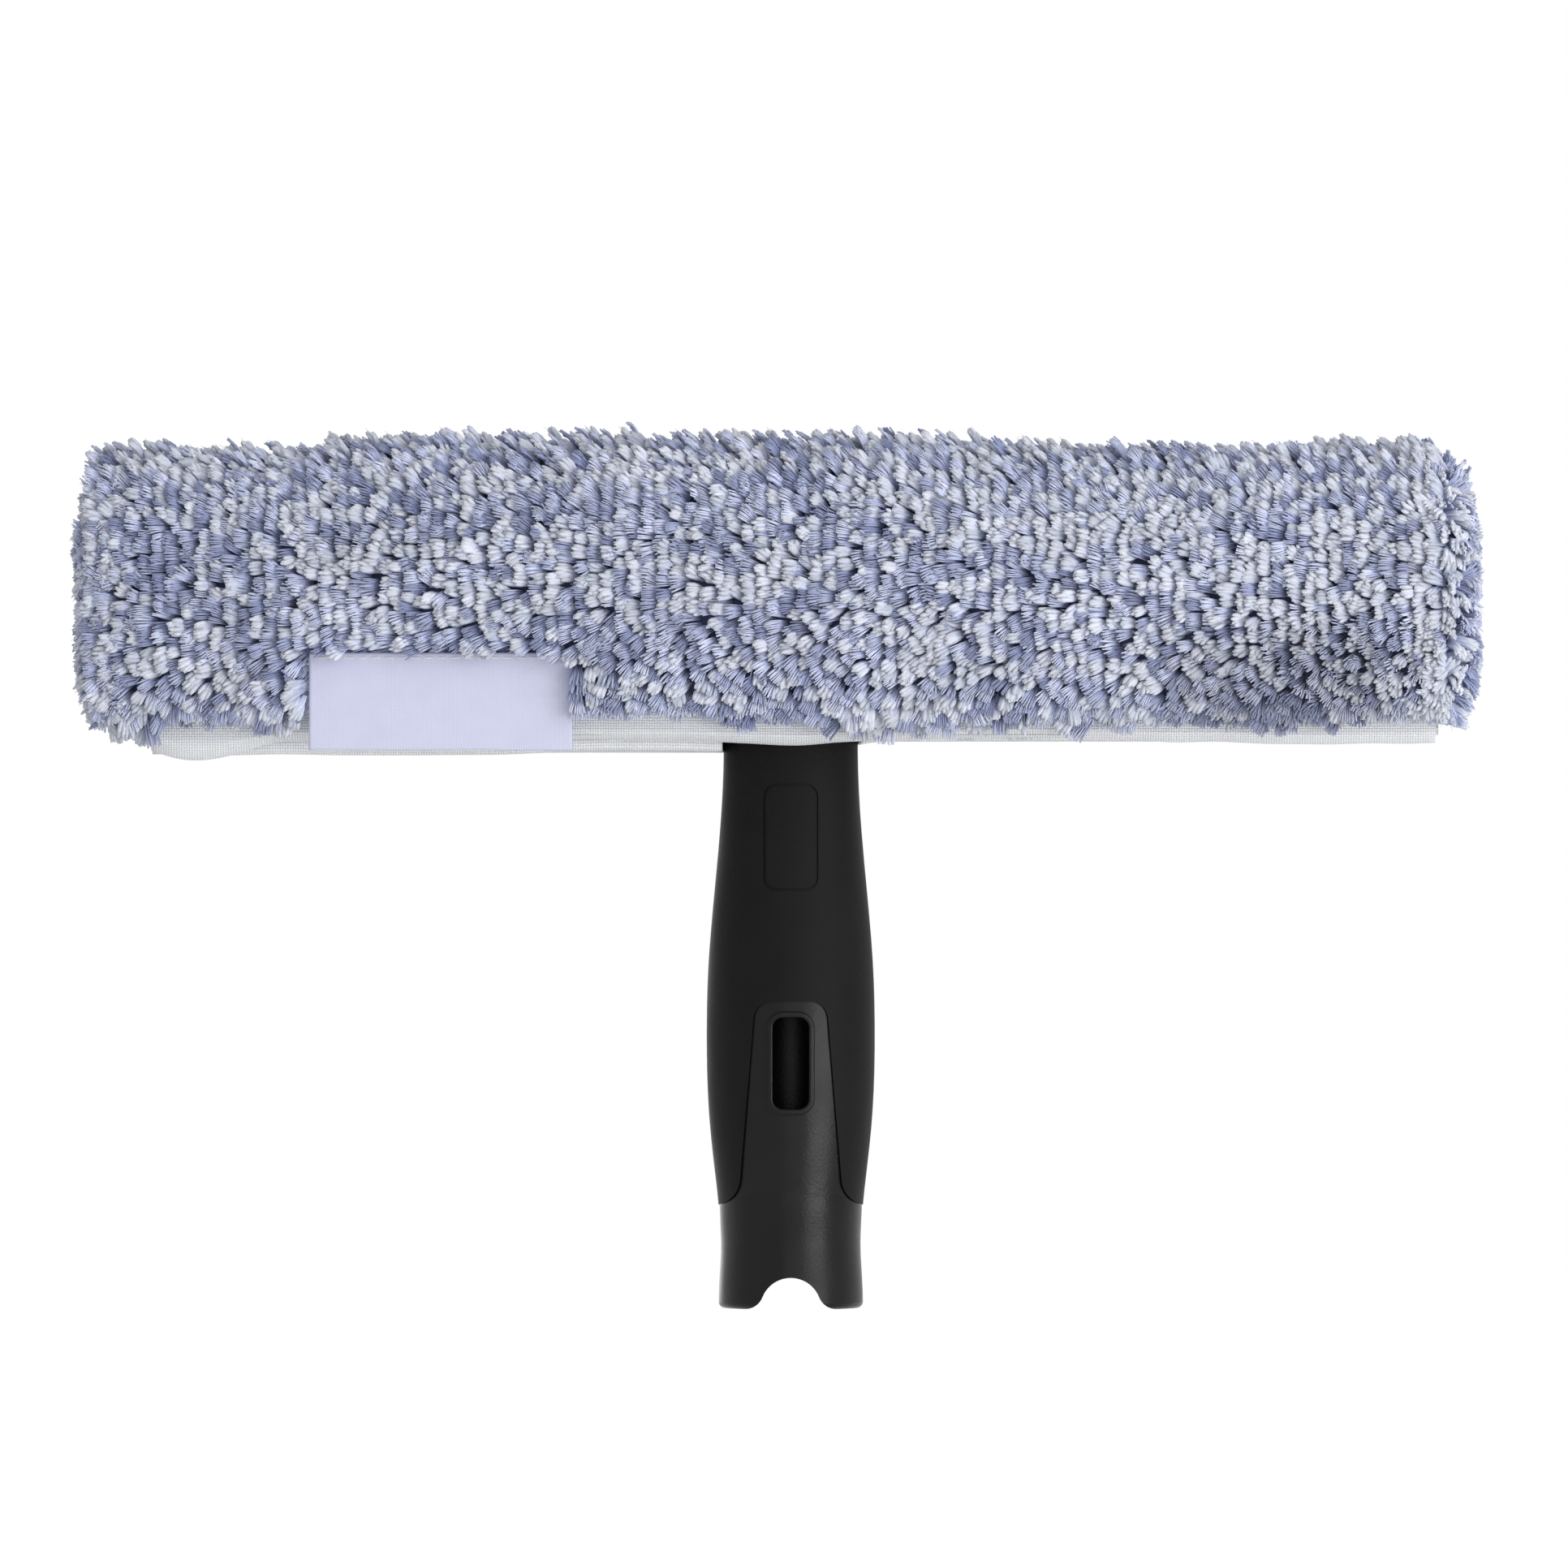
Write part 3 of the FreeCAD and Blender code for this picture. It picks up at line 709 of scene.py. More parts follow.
@dataclass(frozen=True)
class Profile:
    """A value that changes along a way, written as pairs of place and value."""

    pairs: tuple[tuple[float, float], ...]
    place_unit: float = 1.0
    value_unit: float = 1.0

    def at(self, place: np.ndarray) -> np.ndarray:
        """The value at each place, in straight steps from pair to pair."""
        places, values = np.array(self.pairs, dtype=float).T
        return np.interp(place, places * self.place_unit, values * self.value_unit)


@dataclass(frozen=True)
class SleeveSection:
    """Outline of the pile across the bar, from the front hem over the top to the rear hem."""

    hem: float
    half: float
    foot: float
    arch: float
    centre: float
    edge: float
    least_edge: float = 0.2
    corner_points: int = 12
    top_points: int = 60
    samples: int = 400

    def outline(self, inset: float, foot_inset: float) -> np.ndarray:
        """Draws the outline, drawn in from the outer face.

        Args:
            inset: How far the sides and top are drawn in.
            foot_inset: How far the foot is drawn in.

        Returns:
            Evenly spaced y, z points from the front hem to the rear hem.
        """
        half, arch, foot = self.half - inset, self.arch - inset, self.foot + foot_inset
        edge = max(self.edge - foot_inset, self.edge * self.least_edge)
        corner = np.linspace(-math.pi / 2, 0.0, self.corner_points)
        top = np.linspace(0.0, math.pi / 2, self.top_points)
        side = half - edge
        y = np.concatenate([[min(self.hem, side)], side + edge * np.cos(corner), arch * np.cos(top)])
        z = np.concatenate([[foot], foot + edge + edge * np.sin(corner), self.centre + arch * np.sin(top)])
        front = np.stack([-y, z], axis=1)
        whole = np.concatenate([front, (front * [-1, 1])[-2::-1]])
        run = run_along(whole)
        even = np.linspace(0.0, run[-1], self.samples)
        return np.stack([np.interp(even, run, whole[:, k]) for k in (0, 1)], axis=1)

    def girth(self) -> float:
        """Length of the outer outline from hem to hem."""
        return float(run_along(self.outline(0.0, 0.0))[-1])

    def share(self, z: np.ndarray) -> np.ndarray:
        """Heights as shares of the outline's height, from 0 at the foot to 1 at the top."""
        return (z - self.foot) / (self.centre + self.arch - self.foot)

    def at(self, s: np.ndarray, inset: float = 0.0) -> tuple[np.ndarray, np.ndarray]:
        """Finds places on the outline.

        Args:
            s: Length along the outer outline from the front hem.
            inset: How far the sides and top are drawn in.

        Returns:
            The y, z points and the outward y, z normals.
        """
        line = self.outline(inset, 0.0)
        run = np.linspace(0.0, self.girth(), self.samples)
        slope = np.gradient(line, axis=0)
        out = unit(np.stack([-slope[:, 1], slope[:, 0]], axis=1))
        point = np.stack([np.interp(s, run, line[:, k]) for k in (0, 1)], axis=1)
        return point, unit(np.stack([np.interp(s, run, out[:, k]) for k in (0, 1)], axis=1))


@dataclass
class TuftSites:
    """Where tufts are rooted and how each one lies. Every field has one row for each tuft."""

    root: np.ndarray
    out: np.ndarray
    lean: np.ndarray
    height: np.ndarray
    reach: np.ndarray
    fan: np.ndarray
    white: np.ndarray
    # Multiplier of painted shade on each tuft's colour: below 1 on the ruffled patch low on the right, 1 where
    # none is painted.
    tone: np.ndarray

    def pick(self, rows: np.ndarray) -> "TuftSites":
        """The sites of some rows alone."""
        return TuftSites(*(getattr(self, name)[rows] for name in self.__dataclass_fields__))

    @staticmethod
    def joined(groups: list["TuftSites"]) -> "TuftSites":
        """All the sites of several groups in one."""
        names = TuftSites.__dataclass_fields__
        return TuftSites(*(np.concatenate([getattr(group, name) for group in groups]) for name in names))


@dataclass(frozen=True)
class Brush:
    """How the filaments of one yarn lie in a tuft."""

    strands: int
    layers: int
    half_width: float
    thickness: float
    radius: float
    fray: float
    curl: float
    dome: float
    fill: float
    sides: int
    rings: tuple[float, ...]
    taper: tuple[float, ...]
    # Multiplier on the colour at each ring: painted shade, darker towards the root where the tufts shade each
    # other, and slightly lighter at the tip on some yarns.
    root_shade: tuple[float, ...]
    shades: tuple[Colour, ...]

    def spread(self) -> tuple[np.ndarray, np.ndarray]:
        """Places the filaments across the tuft: in flat layers, or over a disc where there is one layer.

        Returns:
            Each filament's place across the tuft and through its thickness, from -1 to 1.
        """
        if self.layers > 1:
            in_layer = self.strands // self.layers
            layer = np.repeat(np.arange(self.layers), in_layer)
            across = np.tile(np.linspace(-1.0, 1.0, in_layer), self.layers)
            shift = (layer % 2 - 0.5) / in_layer
            return across + shift, 2 * layer / (self.layers - 1) - 1
        turn = np.arange(self.strands) * GOLDEN_ANGLE
        ring = np.sqrt((np.arange(self.strands) + 0.5) / self.strands)
        return ring * np.cos(turn), ring * np.sin(turn)


BLUE_BRUSH = Brush(
    strands=14, layers=2, half_width=1.32 * MM, thickness=0.5 * MM, radius=0.27 * MM,
    fray=0.2 * MM, curl=0.14 * MM, dome=0.3 * MM, fill=2.0, sides=3,
    rings=(0.12, 0.5, 0.8, 1.0), taper=(1.0, 1.0, 1.0, 0.85), root_shade=(0.55, 0.88, 1.0, 1.05),
    shades=(
        srgb(199, 205, 227), srgb(211, 216, 235), srgb(189, 196, 220), srgb(173, 180, 208),
        srgb(149, 157, 189),
    ),
)
WHITE_BRUSH = Brush(
    strands=11, layers=1, half_width=1.2 * MM, thickness=0.95 * MM, radius=0.58 * MM,
    fray=0.3 * MM, curl=0.25 * MM, dome=1.0 * MM, fill=1.5, sides=4,
    rings=(0.15, 0.45, 0.7, 0.9, 1.0), taper=(0.8, 1.0, 1.12, 0.95, 0.45),
    root_shade=(0.85, 0.97, 1.0, 1.0, 1.0),
    shades=(srgb(199, 203, 213), srgb(192, 197, 208), srgb(205, 208, 217)),
)
FUZZ_BRUSH = Brush(
    strands=5, layers=1, half_width=1.4 * MM, thickness=1.1 * MM, radius=0.09 * MM,
    fray=0.5 * MM, curl=0.6 * MM, dome=0.6 * MM, fill=1.8, sides=3,
    rings=(0.35, 0.6, 0.82, 1.0), taper=(1.0, 1.0, 0.9, 0.6), root_shade=(0.8, 0.95, 1.0, 1.03),
    shades=(srgb(207, 211, 219), srgb(200, 205, 215)),
)
BRUSHES = {Yarn.BLUE: (BLUE_BRUSH,), Yarn.WHITE: (WHITE_BRUSH, FUZZ_BRUSH)}
# Painted shade tint: roots are drawn bluer and darker, fading towards the tip by the power below.
ROOT_SHADE_TINT = (0.72, 0.81, 1.2)
ROOT_SHADE_TINT_FALL = 1.5
# Backing colours: the knit's blue-grey, drawn darker as painted shade in the gaps between the tufts, and darker
# still on the ends as painted shade.
WRAP_KNIT_AND_SHADE = srgb(96, 103, 138)
END_KNIT_AND_SHADE = srgb(64, 70, 100)


@dataclass
class Fibres:
    """Mesh arrays of many filaments: points, triangles, colours and flat places."""

    points: list[np.ndarray] = field(default_factory=list)
    faces: list[np.ndarray] = field(default_factory=list)
    colours: list[np.ndarray] = field(default_factory=list)
    flat: list[np.ndarray] = field(default_factory=list)
    count: int = 0

    def put(self, points: np.ndarray, faces: np.ndarray, colours: np.ndarray, flat: np.ndarray) -> None:
        """Adds one array of each kind.

        Args:
            points: Vertex places.
            faces: Triangles of these points alone.
            colours: A colour for each point.
            flat: A flat place for each point.
        """
        self.faces.append(faces + self.count)
        self.points.append(points)
        self.colours.append(colours)
        self.flat.append(flat)
        self.count += len(points)

    def piece(self, name: str, finish: bpy.types.Material) -> bpy.types.Object:
        """Makes the mesh object.

        Args:
            name: The piece's name.
            finish: The piece's material.

        Returns:
            The object, painted and with its bake map.
        """
        made = mesh_piece(name, np.concatenate(self.points), np.concatenate(self.faces), finish)
        paint(made, YARN_COLOUR, np.concatenate(self.colours))
        lay_flat(made, BAKE_MAP, np.concatenate(self.flat))
        return made


def strand_tubes(
    centres: np.ndarray, aside: np.ndarray, radii: np.ndarray, taper: np.ndarray, sides: int = 3
) -> tuple[np.ndarray, np.ndarray]:
    """Wraps thin tubes round lines of points, closed at the tip.

    Args:
        centres: Strand, ring and x, y, z of each line.
        aside: One vector for each strand, across its line.
        radii: One radius for each strand.
        taper: Share of the radius at each ring.
        sides: Sides of each tube.

    Returns:
        The points, ring after ring, and the triangles.
    """
    strands, rings = centres.shape[:2]
    way = unit(np.gradient(centres, axis=1))
    over = unit(np.cross(way, aside[:, None]))
    aside = np.cross(over, way)
    turn = np.arange(sides) * 2 * math.pi / sides + math.pi / 2
    circle = np.cos(turn)[:, None] * aside[:, :, None] + np.sin(turn)[:, None] * over[:, :, None]
    width = (radii[:, None] * taper)[:, :, None, None]
    points = (centres[:, :, None] + circle * width).reshape(-1, 3)
    ring = np.arange(rings - 1)[:, None] * sides
    here = np.arange(sides)
    after = (here + 1) % sides
    low, high = (ring + here).ravel(), (ring + sides + here).ravel()
    low_next, high_next = (ring + after).ravel(), (ring + sides + after).ravel()
    tip = (rings - 1) * sides
    cap = np.array([[tip, tip + k, tip + k + 1] for k in range(1, sides - 1)])
    halves = [np.stack(corners, 1) for corners in ((low, low_next, high_next), (low, high_next, high))]
    one = np.concatenate([*halves, cap])
    return points, (one[None] + np.arange(strands)[:, None, None] * rings * sides).reshape(-1, 3)


# Place along the bar, and how far the crest of the pile sags there.
CREST_SAG = Profile(
    (
        (-172, 4.2), (-156, 2.2), (-146, 3.8), (-122, 3.4), (-107, 1.6), (-77, 0.6), (36, 0.6),
        (56, 1.8), (77, 3.0), (97, 3.2), (118, 3.6), (138, 2.4), (160, 1.6),
    ),
    MM, MM,
)
# Height, and how far the pile's ends are drawn in there.
END_DRAW_IN = Profile(
    ((147, 4.5), (152, 3.0), (160, 0.6), (194, 0.0), (206, 1.6), (214, 4.0), (220, 7.0)), MM, MM
)
# Height, and the share of their full reach that tufts on the ends have there.
END_REACH = Profile(((147, 0.4), (157, 1.0)), MM)
# Place along the bar, and the height that the fringe hangs down to.
FRINGE_FOOT = Profile(
    (
        (-178, 147.0), (-170, 141.5), (-163, 139.8), (-159, 142.5), (-154, 146.4), (-144, 147.2),
        (-138, 144.6), (-131, 143.2), (-124, 143.0), (-54, 148.6), (-33, 149.4), (-25, 149.0),
        (-18, 148.2), (-14, 146.9), (-11, 145.2), (-8, 147.4), (-3, 148.0), (2, 147.0), (5, 144.3),
        (11, 144.6), (16, 143.4), (24, 141.9), (34, 141.9), (38, 143.8), (60, 144.2), (84, 143.4),
        (89, 146.2), (110, 146.4), (120, 144.4), (128, 146.8), (140, 144.6), (145, 147.6), (160, 148.2),
    ),
    MM, MM,
)
# Place along the bar, and the height of the front canvas's lower fold.
FRONT_FOLD = Profile(
    (
        (-161, 141.6), (-156, 138.4), (-147, 138.3), (-138, 140.2), (-129, 143.2), (-88, 143.5),
        (-54, 143.7), (-36, 143.4), (-18, 142.7), (2, 141.8), (18, 143.0), (47, 143.7), (64, 143.9),
        (89, 143.1), (112, 142.7), (136, 142.1), (162, 142.9),
    ),
    MM, MM,
)
# Share of the sleeve's height, and how far tufts there lean up from the way to the left.
LEAN_ANGLE = Profile(
    ((0.0, -80), (0.1, -52), (0.28, -22), (0.5, -3), (0.72, 6), (0.9, 14), (1.0, 0)),
    value_unit=math.radians(1),
)
# Share of the sleeve's height, and how upright tufts stand there.
UPRIGHT = Profile(((0.0, 0.3), (0.6, 0.3), (0.82, 0.33), (1.0, 0.5)))
# Share of the sleeve's height, and the share of white tufts there.
WHITE_BY_HEIGHT = Profile(((0.0, 0.48), (0.3, 0.46), (0.7, 0.44), (1.0, 0.42)))


@dataclass
class PileCoat:
    """The tufted pile of the sleeve: a knit backing and thousands of yarn tufts, in bands along the bar."""

    BACKING_STEP = 4
    BACKING_COLUMNS = 90
    BACKING_ROWS = 9
    FINE_STREAK = (12 * MM, 4.0 * MM)
    BROAD_STREAK = (34 * MM, 15 * MM)
    BROAD_SHARE = 0.4
    STREAK_PULL = 0.46
    CHANCE_RANGE = (0.04, 0.96)
    PATCH_FROM = (90 * MM, 108 * MM)
    PATCH_TO = (146 * MM, 156 * MM)
    PATCH_LOW = (0.24, 0.38)
    PATCH_BLUER = 0.36
    # Painted shade on the tufts low in the ruffled patch, and the heights over which it fades out.
    PATCH_SHADE = 0.26
    PATCH_SHADE_LOW = (0.24, 0.4)
    BAND_FROM = (0.34, 0.44)
    BAND_TO = (0.7, 0.84)
    BAND_WHITER = 0.04
    RIGHT_RIM = (157 * MM, 162 * MM)
    RIGHT_WHITER = 0.4
    LEFT_PART = (100 * MM, 140 * MM)
    LEFT_WHITER = 0.05
    CREST = (0.55, 1.0)
    END_FALL = 1.2 * MM
    END_FALL_FROM = (155 * MM, 165 * MM)
    RIGHT_TURN = math.radians(16)
    RIGHT_TURN_UP = (0.3, 0.9)
    RIGHT_TURN_ALONG = (20 * MM, 150 * MM)
    RUFFLE = 0.42
    RUFFLE_ALONG = (95 * MM, 130 * MM)
    RUFFLE_DOWN = (-0.5, -0.3)
    COLUMN_STRAY = 0.16
    ROW_STRAY = 0.12
    HEM_CLIP = 0.9
    LEAN_STRAY = math.radians(12)
    LEAN_DRIFT = math.radians(13)
    DRIFT_PATCH = (26 * MM, 20 * MM)
    UPRIGHT_STRAY = 0.09
    UPRIGHT_MOST = 0.95
    TIP_STRAY = 0.45 * MM
    CREST_STRAY = 0.75 * MM
    CREST_STRAY_FROM = (0.8, 1.0)
    LEAST_FALL = 0.05
    HEIGHT_LEAST = 0.97
    HEIGHT_GAIN = 0.1
    REACH_LOSS = 0.55
    REACH_STRAY = (0.88, 1.14)
    REACH_LEAST = 0.8 * MM
    FOOT_ROOM = 0.6 * MM
    FAN_LEAST = 1.1
    FAN_GAIN = 0.5
    LABEL_REACH = 7 * MM
    BESIDE_FROM = (-2 * MM, MM)
    BESIDE_TO = (5 * MM, 10 * MM)
    BESIDE_UP = (-5 * MM, 4 * MM)
    BESIDE_LEAN = math.radians(-84)
    LABEL_EDGE = 0.6 * MM
    PRESSED = 0.8
    DRAPE = (0.8, 3.0)
    LONG_DRAPE = 4.5
    LONG_DRAPE_SHARE = 0.35
    FRINGE_ROWS = (
        (5.6 * MM, 22.6 * MM, 2.2 * MM),
        (3.6 * MM, 21.2 * MM, 0.8 * MM),
        (1.8 * MM, 19.8 * MM, 0.0),
    )
    FRINGE_PITCH = 3.4 * MM
    FRINGE_START = 9 * MM
    FRINGE_STOP = 13 * MM
    FRINGE_HEIGHT = 5.2 * MM
    FRINGE_STRAY = 0.8
    FRINGE_WHITE = 0.46
    FRINGE_BLUER = 0.16
    # Painted shade on the fringe in the ruffled patch.
    FRINGE_SHADE = 0.18
    FRINGE_OUT = (0.0, 1.0, -0.3)
    FRINGE_HANG = (-0.3, 0.1, -1.0)
    FRINGE_SWAY = 0.34
    FRINGE_OUT_STRAY = 0.15
    FRINGE_TURN = 0.5
    FRINGE_TURN_FROM = (158 * MM, 170 * MM)
    FRINGE_ACROSS = 0.3
    FRINGE_DOWN = -0.6
    FRINGE_REACH = (1.2 * MM, 14 * MM)
    FRINGE_FAN = (0.9, 1.7)
    REAR_FOOT = 143.5 * MM
    LABEL_GAP = (1.5 * MM, 3.5 * MM)
    LEAST_DROP = 0.4 * MM
    SHORT_CUT = (1.5, 4.5)
    SHORT_SHARE = 0.45
    RIM_TURNS = (2.0, 20.0, 38.0, 56.0, 74.0)
    RIM_PITCH = 2.8 * MM
    FACE_PITCH = 2.75 * MM
    FACE_OVERLAP = 3.0 * MM
    RING_STRAY = 0.5 * MM
    END_STRAY = 0.4 * MM
    END_UPRIGHT = (0.55, 0.5)
    END_UPRIGHT_STRAY = 0.12
    END_HEIGHT_GAIN = 0.08
    END_REACH_LOSS = 0.6
    END_REACH_STRAY = (0.8, 1.15)
    END_FAN = (1.3, 1.5)
    RIM_DRIFT = (-1.0, 0.0, -0.2)
    FACE_DRIFT = (0.0, 0.0, -0.4)
    END_WILD = {End.LEFT: 0.35, End.RIGHT: 0.45}
    LEFT_WHITE = 0.44
    RIGHT_FACE_TURN = 0.75
    RIGHT_RIM_WHITE = 0.92
    RIGHT_FACE_WHITE = 0.2
    STAND_FROM = 1.2
    WIDTH_STRAY = (0.8, 1.2)
    ROOT_WIDTH = 0.6
    BEND_WIDTH = 0.85
    BEND_REACH = 0.1
    RADIUS_STRAY = (0.85, 1.15)
    TUFT_TONE = (0.92, 1.06)
    STRAND_TONE = (0.88, 1.08)
    MAP_EDGE = 0.08
    LANE_EDGE = 0.2

    effects: EffectGroups
    section: SleeveSection
    left: float
    right: float
    label_left: float
    label_right: float
    label_top: float
    label_depth: float
    pitch_along: float = 3.5 * MM
    pitch_up: float = 2.45 * MM
    depth: float = 6.4 * MM
    reach: float = 5.8 * MM
    end_round: float = 10.0 * MM
    end_pull: float = 2.4 * MM
    bare_hem: float = 10.0 * MM
    bands: int = 16
    rng: np.random.Generator = field(default_factory=lambda: np.random.default_rng(SEED))

    def build(self) -> list[bpy.types.Object]:
        """Builds the backing, the tufted bands and the two tufted ends.

        Returns:
            The pieces.
        """
        finish = PILE_YARN.material(self.effects)
        groups = [self._wrap_sites(), *(self._fringe_sites(side) for side in Side)]
        wrap = TuftSites.joined(groups)
        x = wrap.root[:, 0]
        edges = np.linspace(x.min(), x.max() + MM, self.bands + 1)
        pieces = self._backing()
        for band in range(self.bands):
            inside = (x >= edges[band]) & (x < edges[band + 1])
            pieces.append(self._tufts(f"pile_band_{band + 1:02d}", wrap.pick(inside), finish))
        for end in End:
            name = end.name.lower()
            rim, face = self._end_sites(end)
            pieces.append(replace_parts(self._tufts(f"pile_tufts_{name}_end", rim, finish), f"pile_end_{name}"))
            pieces.append(self._tufts(f"pile_tufts_{name}_face", face, finish))
        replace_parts(pieces[0], "pile_wrap")
        for piece in pieces:
            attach(piece, "sleeve")
        return pieces

    def _backing(self) -> list[bpy.types.Object]:
        """Builds the knit that the tufts stand on: a wrap and two ends.

        Returns:
            The three pieces, wrap first.
        """
        finish = BACKING_KNIT.material(self.effects)
        line = self.section.outline(self.depth, self.depth / 2)[:: self.BACKING_STEP]
        deep = self.depth + self.end_pull
        start, end = self.left + deep, self.right - deep
        share = np.linspace(0.0, 1.0, self.BACKING_COLUMNS)[:, None]
        drawn = END_DRAW_IN.at(line[:, 1])
        points = np.empty((len(share), len(line), 3))
        points[..., 0] = (start + drawn) * (1 - share) + (end - drawn) * share
        points[..., 1:] = line[None]
        points = self._settled(points.reshape(-1, 3))
        wrap = mesh_piece("pile_backing_wrap", points, grid_faces(len(share), len(line)), finish)
        pieces = [wrap]
        grid, faces = end_grid(line, self.BACKING_ROWS)
        for side, place in ((End.LEFT, start), (End.RIGHT, end)):
            inwards = place - side.value * END_DRAW_IN.at(grid[..., 1:])
            disc = self._settled(np.concatenate([inwards, grid], axis=2).reshape(-1, 3))
            piece = mesh_piece(f"pile_backing_{side.name.lower()}", disc, faces, finish)
            pieces.append(piece)
        # The backing's colour carries painted shade, darker on the ends than on the wrap.
        for piece in pieces:
            shade = WRAP_KNIT_AND_SHADE if piece is wrap else END_KNIT_AND_SHADE
            paint(piece, YARN_COLOUR, np.tile(np.array(shade[:3]), (len(piece.data.vertices), 1)))
        return pieces

    def _settled(self, points: np.ndarray) -> np.ndarray:
        """Lowers the points of the backing as far as the crest above them sags.

        Args:
            points: One row of x, y, z for each point.

        Returns:
            The lowered points.
        """
        x = points[:, 0]
        beside = self.END_FALL * smooth_step(np.abs(x), *self.END_FALL_FROM)
        crest = smooth_step(self.section.share(points[:, 2]), *self.CREST)
        points[:, 2] -= (CREST_SAG.at(x) + beside) * crest
        return points

    def _white(self, x: np.ndarray, s: np.ndarray, share: np.ndarray | float) -> np.ndarray:
        """Chooses where the white yarn comes up, in streaks along the bar.

        Args:
            x: Place along the bar.
            s: Place round the sleeve.
            share: Share of white tufts there.

        Returns:
            True for each white tuft.
        """
        fine = Streaks(Wander.YARN_FINE.value, *self.FINE_STREAK).at(x, s)
        broad = Streaks(Wander.YARN_BROAD.value, *self.BROAD_STREAK).at(x, s)
        streaks = fine + self.BROAD_SHARE * broad
        return self.rng.random(len(x)) < np.clip(share + self.STREAK_PULL * streaks, *self.CHANCE_RANGE)

    def _patch(self, x: np.ndarray) -> np.ndarray:
        """Share of the ruffled stretch near the right end, from 0 to 1, at places along the bar."""
        return smooth_step(x, *self.PATCH_FROM) * (1 - smooth_step(x, *self.PATCH_TO))

    def _white_share(self, share: np.ndarray, x: np.ndarray) -> np.ndarray:
        """Says how much of the pile is white: less in a ruffled patch low on the right, more beside each end.

        Args:
            share: Height on the face, from 0 at the foot to 1 at the top.
            x: Place along the bar.

        Returns:
            The share of white tufts.
        """
        patch = self._patch(x)
        low = 1 - smooth_step(share, *self.PATCH_LOW)
        band = smooth_step(share, *self.BAND_FROM) * (1 - smooth_step(share, *self.BAND_TO))
        white = WHITE_BY_HEIGHT.at(share) - self.PATCH_BLUER * patch * low + self.BAND_WHITER * patch * band
        white = white + self.RIGHT_WHITER * smooth_step(x, *self.RIGHT_RIM)
        return white + self.LEFT_WHITER * smooth_step(-x, *self.LEFT_PART)

    def _lay(self, share: np.ndarray, x: np.ndarray) -> tuple[np.ndarray, np.ndarray]:
        """Says how the pile lies on the long faces.

        Args:
            share: Height on the face, from 0 at the foot to 1 at the top.
            x: Place along the bar.

        Returns:
            The lean's angle above the way to the left, and how upright the tufts stand, from 0 to 1.
        """
        turned = smooth_step(share, *self.RIGHT_TURN_UP) * smooth_step(x, *self.RIGHT_TURN_ALONG)
        ruffled = smooth_step(x, *self.RUFFLE_ALONG) * smooth_step(-share, *self.RUFFLE_DOWN)
        return LEAN_ANGLE.at(share) + self.RIGHT_TURN * turned, UPRIGHT.at(share) + self.RUFFLE * ruffled

    def _beside_label(self, x: np.ndarray, z: np.ndarray) -> np.ndarray:
        """Says where tufts are combed down beside the label's right edge.

        Args:
            x: Place along the bar.
            z: Height.

        Returns:
            How far they are combed, from 0 to 1.
        """
        right, top = self.label_right, self.label_top
        near = smooth_step(x, *(right + step for step in self.BESIDE_FROM))
        near = near * (1 - smooth_step(x, *(right + step for step in self.BESIDE_TO)))
        return near * (1 - smooth_step(z, *(top + step for step in self.BESIDE_UP)))

    def _wrap_sites(self) -> TuftSites:
        """Sets tufts in columns over the front, top and rear.

        Returns:
            The sites.
        """
        girth = self.section.girth()
        margin = self.end_round - MM
        columns = np.arange(self.left + margin, self.right - margin, self.pitch_along)
        rows = np.arange(self.bare_hem, girth - self.bare_hem, self.pitch_up)
        phase = self.rng.uniform(-0.5, 0.5, len(columns))[:, None] * self.pitch_up
        stray = self.rng.standard_normal((len(columns), len(rows)))
        x = columns[:, None] + self.COLUMN_STRAY * self.pitch_along * stray
        s = rows[None] + phase + self.ROW_STRAY * self.pitch_up * self.rng.standard_normal(x.shape)
        hem = self.bare_hem * self.HEM_CLIP
        x, s = x.ravel(), np.clip(s.ravel(), hem, girth - hem)
        place, normal = self.section.at(s)
        on_front = s < girth / 2
        out = across_bar(normal)
        rise = across_bar(np.stack([normal[:, 1], -normal[:, 0]], axis=1))
        rise = rise * np.where(on_front, 1.0, -1.0)[:, None]
        share = self.section.share(place[:, 1])
        angle, upright = self._lay(share, x)
        angle += self.LEAN_STRAY * self.rng.standard_normal(len(x))
        angle += self.LEAN_DRIFT * Streaks(Wander.LEAN.value, *self.DRIFT_PATCH).at(x, s)
        upright = upright + self.UPRIGHT_STRAY * self.rng.standard_normal(len(x))
        upright = np.clip(upright, 0.0, self.UPRIGHT_MOST)
        by_label = on_front & (place[:, 1] < self.label_top + self.LABEL_REACH)
        beside = self._beside_label(x, place[:, 1]) * by_label
        angle = angle * (1 - beside) + self.BESIDE_LEAN * beside
        lean = -np.cos(angle)[:, None] * RIGHT + np.sin(angle)[:, None] * rise
        skin = np.stack([x, place[:, 0], place[:, 1]], axis=1)
        white = self._white(x, s, self._white_share(share, x))
        skin[:, 2] -= CREST_SAG.at(x) * smooth_step(share, *self.CREST)
        spiky = self.TIP_STRAY + self.CREST_STRAY * smooth_step(share, *self.CREST_STRAY_FROM)
        height = self.depth * (self.HEIGHT_LEAST + self.HEIGHT_GAIN * upright)
        height = height + spiky * self.rng.standard_normal(len(x))
        reach = self.reach * (1 - self.REACH_LOSS * upright) * self.rng.uniform(*self.REACH_STRAY, len(x))
        room = skin[:, 2] - FRINGE_FOOT.at(x) - self.FOOT_ROOM
        limit = np.maximum(room / np.maximum(-lean[:, 2], self.LEAST_FALL), self.REACH_LEAST)
        reach = np.where(on_front, np.minimum(reach, limit), reach)
